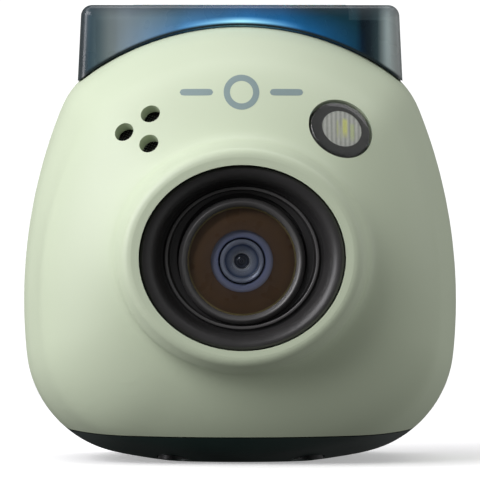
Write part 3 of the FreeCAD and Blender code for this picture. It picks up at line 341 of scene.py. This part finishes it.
def ribbed_lens():
    """Ribbed flash lens: grey ribs with painted light and shade on each rib, the yellow phosphor of the
    diode painted on as the stripes it is drawn out into, and a faint painted glow.
    """
    material, nodes, links, shader = new_material("frosted_plastic")
    across, down, _ = own_place(nodes, links)
    # Each rib is painted lighter on one half and darker on the other: painted light and shade.
    turn = math_node(nodes, links, "MULTIPLY", across, 2 * math.pi / RIB_PITCH)
    shade = ranged(nodes, links, math_node(nodes, links, "SINE", turn), 0.0, 1.0, -1.0, 1.0)
    colour = mixed_colour(nodes, links, shade, (0.52, 0.52, 0.49), (0.8, 0.8, 0.76))
    for centre, half, top, bottom, tone, share in STRIPES:
        aside = math_node(nodes, links, "ABSOLUTE", math_node(nodes, links, "SUBTRACT", across, centre))
        sides = ranged(nodes, links, aside, share, 0.0, half * 0.6, half * 1.2)
        over = ranged(nodes, links, down, 0.0, 1.0, top - 0.15, top + 0.2)
        under = ranged(nodes, links, down, 1.0, 0.0, bottom - 0.5, bottom + 0.3)
        along = math_node(nodes, links, "MULTIPLY", over, under)
        stripe = math_node(nodes, links, "MULTIPLY", sides, along)
        colour = mixed_colour(nodes, links, stripe, colour, tone)
    links.new(colour, shader.inputs["Base Color"])
    links.new(ranged(nodes, links, noise(nodes, links, 0.4), 0.22, 0.32), shader.inputs["Roughness"])
    relief(nodes, links, shader, noise(nodes, links, 0.1), 1.0)
    # The lens colour is also given a faint painted glow.
    links.new(colour, shader.inputs["Emission Color"])
    shader.inputs["Emission Strength"].default_value = 0.25
    return material


SHELL = (0.6, 0.68, 0.5)
STEEL = (0.58, 0.58, 0.59)
BRASS = (0.66, 0.46, 0.17)

FINISHES = {
    "shell_pistachio": surface("shell_pistachio", SHELL, 0.46, 0.14, 3.5, 12.0, 0.02),
    "button_pistachio": surface("button_pistachio", SHELL, 0.42, 0.12, 3.0, 8.0, 0.025),
    "smoked_plastic": smoked(),
    "base_green": surface("base_green", (0.012, 0.03, 0.026), 0.36, 0.16, 4.0, 6.0, 0.1),
    "milky_plastic": surface("milky_plastic", (0.72, 0.76, 0.75), 0.35, 0.2, 1.5, 5.0, 0.03,
                             Subsurface_Weight=0.2, Subsurface_Scale=0.001),
    "clear_plastic": glowing_guide(),
    "frosted_plastic": ribbed_lens(),
    "board_green": surface("board_green", (0.015, 0.13, 0.06), 0.3, 0.3, 12.0, 1.2, 0.35, (1, 1, 3)),
    "led_white": surface("led_white", (0.5, 0.72, 0.95), 0.2, 0.1, 1.0, 0.6, 0.1,
                         Emission_Color=(0.2, 0.55, 1.0, 1), Emission_Strength=6.0),
    "black_satin": surface("black_satin", (0.03, 0.029, 0.029), 0.38, 0.09, 4.5, 3.0, 0.12,
                           Specular_IOR_Level=0.5),
    # A lighter grey copy of the black satin: painted light on the lens rim ring and the bezel bead, which
    # are black.
    "satin_painted_lit": surface("satin_painted_lit", (0.085, 0.083, 0.082), 0.34, 0.09, 3.0, 3.0, 0.1,
                          Specular_IOR_Level=0.6),
    "black_gloss": surface("black_gloss", (0.008, 0.008, 0.009), 0.18, 0.2, 1.0, 3.0, 0.1),
    "ring_blue_black": surface("ring_blue_black", (0.07, 0.085, 0.17), 0.32, 0.1, 1.5, 1.0, 0.1,
                               Metallic=0.5),
    "clear_glass": clear("clear_glass", (0.97, 0.98, 0.99)),
    "flash_clear": clear("flash_clear", (0.93, 0.94, 0.93), 1.49, 0.05),
    # Lens glass by radius: the bright spot in the middle, the pale rings in the dark pupil, the white ring
    # at 0.76 to 0.82 mm and the pale blue band out to 1.3 mm are painted reflections and painted light.
    "lens_glass": ringed("lens_glass", [
        (0.0, (0.3, 0.32, 0.4)), (0.07, (0.02, 0.025, 0.04)), (0.15, (0.025, 0.03, 0.05)),
        (0.2, (0.2, 0.22, 0.27)), (0.26, (0.03, 0.04, 0.06)), (0.4, (0.06, 0.07, 0.09)),
        (0.5, (0.16, 0.18, 0.22)), (0.56, (0.05, 0.06, 0.08)), (0.72, (0.1, 0.11, 0.14)),
        (0.76, (0.9, 0.92, 0.95)), (0.82, (0.9, 0.92, 0.95)), (0.87, (0.8, 0.84, 0.92)),
        (1.3, (0.58, 0.66, 0.82)), (1.6, (0.1, 0.16, 0.34)), (2.2, (0.03, 0.05, 0.12))], 0.24, 0.2, 0.4,
        Metallic=0.25, Coat_Weight=0.8),
    "filter_glass": surface("filter_glass", (0.1, 0.32, 0.34), 0.06, 0.5, 0.3, 1.5, 0.15, Metallic=0.6),
    # Brown mask by radius; the gold from 5.03 mm out is a painted reflection along the mask's outer edge.
    "mask_brown": ringed("mask_brown", [
        (2.9, (0.19, 0.12, 0.08)), (3.1, (0.28, 0.165, 0.095)), (4.3, (0.3, 0.168, 0.08)),
        (4.98, (0.26, 0.146, 0.07)), (5.03, (0.6, 0.48, 0.2)), (5.5, (0.6, 0.48, 0.2))], 0.3, 2.0, 0.2),
    "foam_black": surface("foam_black", (0.014, 0.014, 0.014), 0.9, 0.2, 60.0, 1.0, 0.2),
    "sensor_silicon": surface("sensor_silicon", (0.05, 0.06, 0.12), 0.12, 0.3, 0.3, 1.0, 0.3, Metallic=0.7),
    "flex_film": surface("flex_film", (0.42, 0.17, 0.03), 0.22, 0.6, 6.0, 2.0, 0.12, (1, 0.2, 0.2)),
    "phosphor_yellow": surface("phosphor_yellow", (0.7, 0.75, 0.12), 0.6, 0.06, 6.0, 0.5, 0.1),
    "mesh_black": surface("mesh_black", (0.035, 0.034, 0.03), 0.28, 0.05, 1.0, 1.0, 0.15, Metallic=0.85),
    "film_clear": surface("film_clear", (0.45, 0.45, 0.43), 0.25, 0.8, 3.0, 2.0, 0.08),
    "steel_plain": surface("steel_plain", STEEL, 0.3, 0.25, 2.0, 2.0, 0.08, (1, 1, 6), Metallic=1.0),
    "battery_wrap": surface("battery_wrap", (0.06, 0.075, 0.095), 0.22, 0.7, 5.0, 4.0, 0.2, (1, 1, 0.3)),
    "chip_black": surface("chip_black", (0.02, 0.02, 0.022), 0.55, 0.08, 5.0, 2.0, 0.15),
    "brass_plain": surface("brass_plain", BRASS, 0.25, 0.2, 1.5, 2.0, 0.08, (1, 1, 5), Metallic=1.0),
    "barrel_violet": ringed("barrel_violet", [
        (1.9, (0.012, 0.016, 0.05)), (2.2, (0.012, 0.016, 0.05)), (2.27, (0.48, 0.54, 0.85)),
        (2.7, (0.56, 0.6, 0.85)), (2.9, (0.4, 0.4, 0.55)), (3.2, (0.05, 0.045, 0.05))], 0.35, 0.1, 1.0,
        Metallic=0.1),
    "retainer_grey": surface("retainer_grey", (0.6, 0.66, 0.82), 0.3, 0.1, 1.5, 0.8, 0.12, Metallic=0.2),
    "mark_ink": surface("mark_ink", (0.23, 0.31, 0.31), 0.5, 0.12, 3.0, 3.0, 0.05),
    "screw_black": surface("screw_black", (0.02, 0.02, 0.021), 0.35, 0.2, 2.0, 1.5, 0.1, (1, 1, 6),
                           Metallic=0.6),
}

SLOT_OF = {part["node"]: part["material_slot"] for part in frame["record"]["subparts"]}
for node, thing in frame["nodes"].items():
    thing.data.materials.clear()
    finish = "screw_black" if node.startswith("base_screw") else SLOT_OF[node]
    thing.data.materials.append(FINISHES[finish])


# ---------------------------------------------------------------- building pieces
def rounded(corners, closed, steps):
    """Line through the corners; the last number of each corner is how far its rounding reaches."""
    line = []
    count = len(corners)
    for index, corner in enumerate(corners):
        here, reach = Vector(corner[:3]), corner[3]
        if reach == 0 or (not closed and index in (0, count - 1)):
            line.append(here)
            continue
        before = Vector(corners[index - 1][:3])
        after = Vector(corners[(index + 1) % count][:3])
        start = here + (before - here).normalized() * reach
        end = here + (after - here).normalized() * reach
        for step in range(steps + 1):
            t = step / steps
            line.append(start * (1 - t) ** 2 + here * 2 * t * (1 - t) + end * t * t)
    return line


def piece(name, mesh, place, sharp=35):
    """Turns a mesh in millimetres into a piece in its place, smooth but for edges sharper than sharp."""
    bmesh.ops.scale(mesh, vec=(MM, MM, MM), verts=mesh.verts)
    bmesh.ops.recalc_face_normals(mesh, faces=mesh.faces)
    data = bpy.data.meshes.new(name)
    mesh.to_mesh(data)
    mesh.free()
    data.shade_smooth()
    data.set_sharp_from_angle(angle=math.radians(sharp))
    thing = bpy.data.objects.new(name, data)
    bpy.context.scene.collection.objects.link(thing)
    thing.matrix_world = place
    return thing


def turned(name, corners, place, segments=144, steps=6, bend=None, sharp=35):
    """Round or oval solid. A corner is (radius, depth, rounding), or (half width, half height, depth,
    rounding). A line that starts on the axis is a full disc, any other is a ring. bend may move each
    point."""
    wide = [corner if len(corner) == 4 else (corner[0], *corner) for corner in corners]
    closed = corners[0][0] > 0
    mesh = bmesh.new()
    rings = []
    for half_wide, half_tall, depth in rounded(wide, closed, steps):
        ring = []
        for k in range(segments if half_wide > 0 else 1):
            angle = 2 * math.pi * k / segments
            point = (half_wide * math.cos(angle), half_tall * math.sin(angle), depth)
            ring.append(mesh.verts.new(bend(*point) if bend else point))
        rings.append(ring)
    for near, far in zip(rings, rings[1:] + rings[:1] if closed else rings[1:]):
        for k in range(segments):
            after = (k + 1) % segments
            face = [near[k % len(near)], near[after % len(near)], far[after % len(far)], far[k % len(far)]]
            mesh.faces.new(list(dict.fromkeys(face)))
    return piece(name, mesh, place, sharp)


def fit(thing, body, slot, finish, *nodes):
    """Gives a piece its finish and its body, and hides any CAD nodes that it stands for."""
    thing.data.materials.append(FINISHES[finish])
    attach(thing, body)
    if nodes:
        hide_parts(*nodes)
    return thing


# ---------------------------------------------------------------- lens
fit(turned("collar_bowl", [
    (9.65, 8.65, 5.0, 0), (9.65, 8.65, 0.75, 0.2), (9.4, 8.4, 0.56, 0.2), (8.95, 7.98, 0.62, 0.3),
    (8.3, 7.45, 1.1, 0.6), (7.98, 7.2, 2.6, 0.6), (7.75, 7.02, 3.3, 0.3), (7.45, 6.84, 3.36, 0.12),
    (7.22, 6.66, 2.95, 0.15), (6.98, 6.48, 3.5, 0.15), (6.85, 6.42, 3.85, 0.15), (6.1, 6.1, 3.9, 0.1),
    (6.1, 6.1, 5.0, 0)], COLLAR, 192), "camera", "black_satin", "black_satin", "lens_bezel")
# The rim ring and the bead get the lighter satin: painted light on black pieces.
fit(turned("lens_rim_ring", [
    (6.0, 4.6, 0), (6.0, 3.35, 0.3), (5.62, 2.7, 0.3), (5.22, 3.05, 0.25), (5.15, 3.55, 0.04),
    (5.55, 3.55, 0), (5.55, 4.6, 0)], LENS, 192), "camera", "black_gloss", "satin_painted_lit", "lens_ring")
fit(turned("bezel_bead", [
    (7.32, 6.76, 3.45, 0.05), (7.32, 6.76, 2.95, 0.14), (7.02, 6.46, 2.95, 0.14), (7.02, 6.46, 3.45, 0.05)],
    COLLAR, 192), "camera", "black_satin", "satin_painted_lit")
fit(turned("cover_glass", [
    (0, 3.6, 0), (5.42, 3.6, 0.03), (5.5, 3.68, 0.03), (5.5, 4.22, 0.03), (5.42, 4.3, 0.03), (0, 4.3, 0)],
    LENS), "camera", "clear_glass", "clear_glass", "lens_window")
fit(turned("printed_mask", [
    (2.95, 4.33, 0), (4.98, 4.33, 0.02), (5.14, 4.31, 0.02), (5.45, 4.31, 0),
    (5.45, 4.43, 0), (2.95, 4.43, 0)], LENS), "camera", "mask_brown", "mask_brown", "window_mask")
fit(turned("barrel_tube", [
    (3.2, 10.2, 0), (3.2, 5.05, 0.12), (3.05, 4.82, 0.1), (2.3, 4.95, 0.05), (2.2, 5.15, 0.05),
    (2.2, 9.7, 0), (1.7, 9.7, 0), (1.7, 10.2, 0)], LENS, 128),
    "camera", "ring_blue_black", "barrel_violet", "lens_barrel")
fit(turned("retaining_ring", [
    (2.08, 6.0, 0), (2.08, 5.1, 0.06), (1.96, 5.02, 0.05), (1.68, 5.12, 0.1), (1.6, 5.35, 0.05),
    (1.6, 6.0, 0)], LENS, 128), "camera", "ring_blue_black", "retainer_grey", "lens_retaining_ring")
fit(turned("front_glass", [
    (0, 6.3, 0), (0.4, 6.36, 0.15), (0.72, 6.62, 0.06), (0.76, 6.52, 0.02), (0.84, 6.52, 0.03),
    (0.9, 6.6, 0.05), (1.25, 6.4, 0.25), (1.58, 6.05, 0.05), (2.15, 6.03, 0.05), (2.15, 7.2, 0),
    (0, 7.2, 0)],
    LENS, 128), "camera", "lens_glass", "lens_glass", "lens_element_front")


# ---------------------------------------------------------------- flash
# The opening of the mask and the ribbed lens sit a little up and to the right in the round window.
FLASH_ASIDE, FLASH_DOWN = 0.3, -0.36
IN_WINDOW = FLASH @ Matrix.Translation(Vector((FLASH_ASIDE, FLASH_DOWN, 0)) * MM)
# Depth of the ribbed face, and a depth just behind it; and a radius between the two edges of the mask.
RIB_FACE, BEHIND_FACE = 0.82, 0.85
MID_MASK = 2.5


def ribs(x, y, depth):
    """Raises upright ribs on the ribbed face."""
    rise = RIB_HEIGHT * abs(math.sin(math.pi * x / RIB_PITCH)) if depth < BEHIND_FACE else 0
    return x, y, depth - rise


def opening(x, y, depth):
    """Moves the inner edge of the mask to where the ribbed lens is."""
    if math.hypot(x, y) > MID_MASK:
        return x, y, depth
    return x + FLASH_ASIDE, y + FLASH_DOWN, depth


fit(turned("flash_cover", [
    (0, 0.02, 0), (2.2, 0.06, 0.4), (2.85, 0.16, 0.12), (3.1, 0.42, 0.08), (3.1, 0.55, 0), (0, 0.55, 0)],
    FLASH, 128), "camera", "clear_glass", "flash_clear", "flash_window")
fit(turned("flash_surround", [
    (1.95, 0.75, 0), (2.02, 0.6, 0.03), (3.05, 0.6, 0.02), (3.05, 0.75, 0)], FLASH, 128, bend=opening),
    "camera", "black_gloss", "black_gloss", "flash_mask")
ribbed_face = [(2.3 * k / RIB_RINGS, RIB_FACE, 0) for k in range(RIB_RINGS + 1)]
fit(turned("flash_ribs", ribbed_face + [(2.4, 0.95, 0), (2.4, 1.75, 0), (0, 1.75, 0)],
           IN_WINDOW, 192, bend=ribs, sharp=60),
    "camera", "frosted_plastic", "frosted_plastic", "flash_lens")


# ---------------------------------------------------------------- speaker mesh
def woven(name, radius, pitch, wire, depth, place, turn):
    """Round cut of plain woven wire cloth; wire is its diameter, and turn is in degrees."""
    mesh = bmesh.new()
    sides = 6
    count = int(radius / pitch)
    for family in (0, 1):
        for row in range(-count, count + 1):
            half = math.sqrt(max(radius ** 2 - (row * pitch) ** 2, 0)) - wire
            if half < pitch:
                continue
            steps = int(2 * half / (pitch / 4))
            before = None
            for k in range(steps + 1):
                along = -half + 2 * half * k / steps
                lift = math.cos(math.pi * along / pitch + math.pi * (row + family)) * wire * 0.5
                ring = []
                for side in range(sides):
                    angle = 2 * math.pi * side / sides
                    aside = row * pitch + wire / 2 * math.cos(angle)
                    point = (along, aside) if family else (aside, along)
                    ring.append(mesh.verts.new((*point, depth + lift + wire / 2 * math.sin(angle))))
                if before:
                    for side in range(sides):
                        after = (side + 1) % sides
                        mesh.faces.new((before[side], before[after], ring[after], ring[side]))
                else:
                    mesh.faces.new(ring)
                before = ring
            mesh.faces.new(before)
    bmesh.ops.rotate(mesh, matrix=Matrix.Rotation(math.radians(turn), 3, "Z"), verts=mesh.verts)
    return piece(name, mesh, place, 80)


fit(woven("speaker_cloth", 3.0, 0.25, 0.11, SPEAKER_MESH_DEPTH, SPEAKER, 28),
    "camera", "mesh_black", "mesh_black", "speaker_mesh")


# ---------------------------------------------------------------- printed mark on the front
MARK_Z = 35.6
RING_INNER, RING_OUTER, RING_STEPS = 1.1, 1.7, 64
BAR_START, BAR_LONG, BAR_HALF, BAR_STEPS = 2.7, 3.2, 0.32, 24
# The ink reaches from just over the shell to just under it, and is six quads across.
INK_OVER, INK_UNDER, INK_ROWS = 0.012, -0.03, 6
# Rays that look for the shell start this far in front of it.
BEFORE_SHELL = 10
# A bar keeps this height at its very ends, so that no face there has two equal corners.
THINNEST = 0.001

shell_mesh = bmesh.new()
shell_mesh.from_mesh(frame["nodes"]["front_shell"].data)
shell_tree = BVHTree.FromBMesh(shell_mesh)


def on_shell(x, z, lift):
    """Point on the front of the shell at this x and z, lifted off it by lift millimetres."""
    start = Vector((x * MM, FRONT - BEFORE_SHELL * MM, z * MM))
    hit, normal, _, _ = shell_tree.ray_cast(start, Vector((0, 1, 0)))
    return (hit + normal.normalized() * lift * MM) / MM


def ink_band(mesh, inner, outer, closed):
    """Ink between two rows of (x, z) points of the same count, a grid of quads laid on the shell."""
    grid = []
    for start, end in zip(inner, outer):
        line = []
        for k in range(INK_ROWS + 1):
            x, z = (a + (b - a) * k / INK_ROWS for a, b in zip(start, end))
            line.append([mesh.verts.new(on_shell(x, z, lift)) for lift in (INK_OVER, INK_UNDER)])
        grid.append(line)
    count = len(grid)
    for i in range(count if closed else count - 1):
        here, there = grid[i], grid[(i + 1) % count]
        for k in range(INK_ROWS):
            mesh.faces.new((here[k][0], here[k + 1][0], there[k + 1][0], there[k][0]))
            mesh.faces.new((here[k][1], there[k][1], there[k + 1][1], here[k + 1][1]))
        for k in (0, INK_ROWS):
            mesh.faces.new((here[k][0], there[k][0], there[k][1], here[k][1]))
    if not closed:
        for end in (grid[0], grid[-1]):
            for k in range(INK_ROWS):
                mesh.faces.new((end[k][0], end[k + 1][0], end[k + 1][1], end[k][1]))


def mark_circle(radius):
    """Points (x, z) round the middle of the mark."""
    angles = [2 * math.pi * k / RING_STEPS for k in range(RING_STEPS)]
    return [(radius * math.cos(angle), MARK_Z + radius * math.sin(angle)) for angle in angles]


def bar_half(along):
    """Half the height of a bar with rounded ends, where along goes from 0 to 1."""
    return BAR_HALF * math.sqrt(max(1 - abs(2 * along - 1) ** 10, 0.0))


ink = bmesh.new()
ink_band(ink, mark_circle(RING_INNER), mark_circle(RING_OUTER), True)
for side in (-1, 1):
    bar = [(side * (BAR_START + BAR_LONG * k / BAR_STEPS), bar_half(k / BAR_STEPS))
           for k in range(BAR_STEPS + 1)]
    ink_band(ink, [(x, MARK_Z - half) for x, half in bar],
             [(x, MARK_Z + half + THINNEST) for x, half in bar], False)
fit(piece("front_mark", ink, UPRIGHT), "camera", "shell_pistachio", "mark_ink")


# ---------------------------------------------------------------- back
fit(turned("shutter_cap", [
    (0, 0.42, 0), (0.9, 0.4, 0.1), (1.15, 0.3, 0.12), (1.4, 0.4, 0.12), (5.5, 0.3, 1.5), (7.9, 0.02, 0.7),
    (8.75, 0.12, 0.4), (9.3, 0.75, 0.3), (9.3, 2.4, 0), (10.1, 2.4, 0.05), (10.1, 2.9, 0), (8.4, 2.9, 0),
    (8.4, 1.5, 0), (1.5, 1.5, 0), (1.5, 4.2, 0), (0, 4.2, 0)], BUTTON, 160),
    "shutter_action", "button_pistachio", "button_pistachio", "shutter_button")


# ---------------------------------------------------------------- tripod bush with its thread
THREAD_PITCH, THREAD_DEPTH = 1.27, 0.55
BORE_RADIUS, BORE_STEPS = 2.55, 48
# The thread starts above the countersink, and the flat end of the bore is at BORE_END.
THREAD_START, THREAD_LONG, BORE_END = 0.25, 4.7, 5.1
ON_BORE = 0.001


def threaded(x, y, depth):
    """Cuts the thread into the points of the bore."""
    radius = math.hypot(x, y)
    if abs(radius - BORE_RADIUS) > ON_BORE:
        return x, y, depth
    turn = (depth / THREAD_PITCH - math.atan2(y, x) / (2 * math.pi)) % 1
    grow = 1 + THREAD_DEPTH * (1 - abs(2 * turn - 1)) / radius
    return x * grow, y * grow, depth


bush_low, bush_high = (corner.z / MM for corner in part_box("tripod_bush"))
bore = [(BORE_RADIUS, bush_low + THREAD_START + THREAD_LONG * k / BORE_STEPS, 0)
        for k in range(BORE_STEPS + 1)]
fit(turned("thread_bush", [
    (0, bush_high, 0), (4.0, bush_high, 0), (4.0, bush_low, 0), (3.25, bush_low, 0), *bore,
    (2.5, BORE_END, 0), (0, BORE_END, 0)], UPRIGHT, 96, bend=threaded),
    "camera", "brass_plain", "brass_plain", "tripod_bush")


# ---------------------------------------------------------------- floor, light and camera
FLOOR_RADIUS, FLOOR_GLOW = 280, 0.36
UNDER_OBJECT = 0.02
# Softboxes: name, degrees to the right of the camera, degrees above the floor, and watts per square
# metre on the object.
LIGHTS = (
    ("key_low", -65, 10, 1.05),
    ("key_high", -65, 35, 1.05),
    ("key_front", -35, 30, 1.05),
    ("top_left", -95, 60, 0.4),
    ("top_right", 95, 60, 0.3),
    ("edge_right", 95, 10, 0.15),
    ("top_behind", 180, 75, 0.45))
LIGHT_DISTANCE, LIGHT_SIZE = 0.6, 0.26
KEY_TINT = (1.0, 0.985, 1.02)
AIM = Vector((0, 0, 0.022))
# Soft room light comes from above and from both sides, and none from the floor.
ROOM = (((0, 0, 1), 0.16), ((-1, 0, 0), 0.32), ((1, 0, 0), 0.48))
BACKDROP = 1.1
# The camera's distance, its height, and how wide a view it has at the object, in metres. YAW is in
# degrees, and SENSOR_WIDTH in millimetres.
DISTANCE, EYE, VIEW_WIDTH = 0.5, 0.0215, 0.04706
YAW, SENSOR_WIDTH = -0.6, 36


def floor():
    """White disc that shows the shadow of the object and throws no light back on it."""
    mesh = bmesh.new()
    bmesh.ops.create_circle(mesh, cap_ends=True, segments=128, radius=FLOOR_RADIUS)
    thing = piece("floor", mesh, Matrix.Translation((0, 0, -UNDER_OBJECT * MM)))
    material, nodes, links, shader = new_material("floor_white")
    shader.inputs["Base Color"].default_value = (0.95, 0.95, 0.95, 1)
    shader.inputs["Roughness"].default_value = 0.9
    shader.inputs["Emission Color"].default_value = (1, 1, 1, 1)
    shader.inputs["Emission Strength"].default_value = FLOOR_GLOW
    # the floor is see-through from below, so that the underside can be looked at
    below = nodes.new("ShaderNodeNewGeometry").outputs["Backfacing"]
    see_through(nodes, links, shader, math_node(nodes, links, "SUBTRACT", 1.0, below))
    thing.data.materials.append(material)
    thing.visible_diffuse = False
    thing.visible_glossy = False


def softbox(name, place, target, size, power):
    data = bpy.data.lights.new(name, "AREA")
    data.size = size
    data.energy = power
    data.color = KEY_TINT
    lamp = bpy.data.objects.new(name, data)
    bpy.context.scene.collection.objects.link(lamp)
    lamp.location = place
    lamp.rotation_euler = (Vector(target) - Vector(place)).to_track_quat("-Z", "Y").to_euler()


for name, across, up, strength in LIGHTS:
    across, up = math.radians(across), math.radians(up)
    toward = Vector((math.sin(across) * math.cos(up), -math.cos(across) * math.cos(up), math.sin(up)))
    softbox(name, AIM + toward * LIGHT_DISTANCE, AIM, LIGHT_SIZE, strength * math.pi * LIGHT_DISTANCE ** 2)
floor()

world = bpy.data.worlds.new("studio")
bpy.context.scene.world = world
world.use_nodes = True
nodes, links = world.node_tree.nodes, world.node_tree.links
direction = nodes.new("ShaderNodeTexCoord").outputs["Generated"]
room = 0.0
for axis, strength in ROOM:
    facing = nodes.new("ShaderNodeVectorMath")
    facing.operation = "DOT_PRODUCT"
    facing.inputs[1].default_value = axis
    links.new(direction, facing.inputs[0])
    share = math_node(nodes, links, "MAXIMUM", facing.outputs["Value"], 0.0)
    room = math_node(nodes, links, "ADD", room, math_node(nodes, links, "MULTIPLY", share, strength))
ambient = nodes["Background"]
ambient.inputs["Color"].default_value = (1, 1, 1, 1)
links.new(room, ambient.inputs["Strength"])
backdrop = nodes.new("ShaderNodeBackground")
backdrop.inputs["Color"].default_value = (1, 1, 1, 1)
backdrop.inputs["Strength"].default_value = BACKDROP
rays = nodes.new("ShaderNodeLightPath")
either = nodes.new("ShaderNodeMixShader")
links.new(rays.outputs["Is Camera Ray"], either.inputs[0])
links.new(ambient.outputs[0], either.inputs[1])
links.new(backdrop.outputs[0], either.inputs[2])
links.new(either.outputs[0], nodes["World Output"].inputs["Surface"])

lens = bpy.data.cameras.new("camera")
lens.sensor_width = SENSOR_WIDTH
lens.lens = SENSOR_WIDTH * DISTANCE / VIEW_WIDTH
eye = bpy.data.objects.new("eye", lens)
bpy.context.scene.collection.objects.link(eye)
yaw = math.radians(YAW)
eye.location = (DISTANCE * math.sin(yaw), -DISTANCE * math.cos(yaw), EYE)
eye.rotation_euler = (math.radians(90), 0, yaw)
bpy.context.scene.camera = eye
bpy.context.scene.view_settings.view_transform = "Standard"
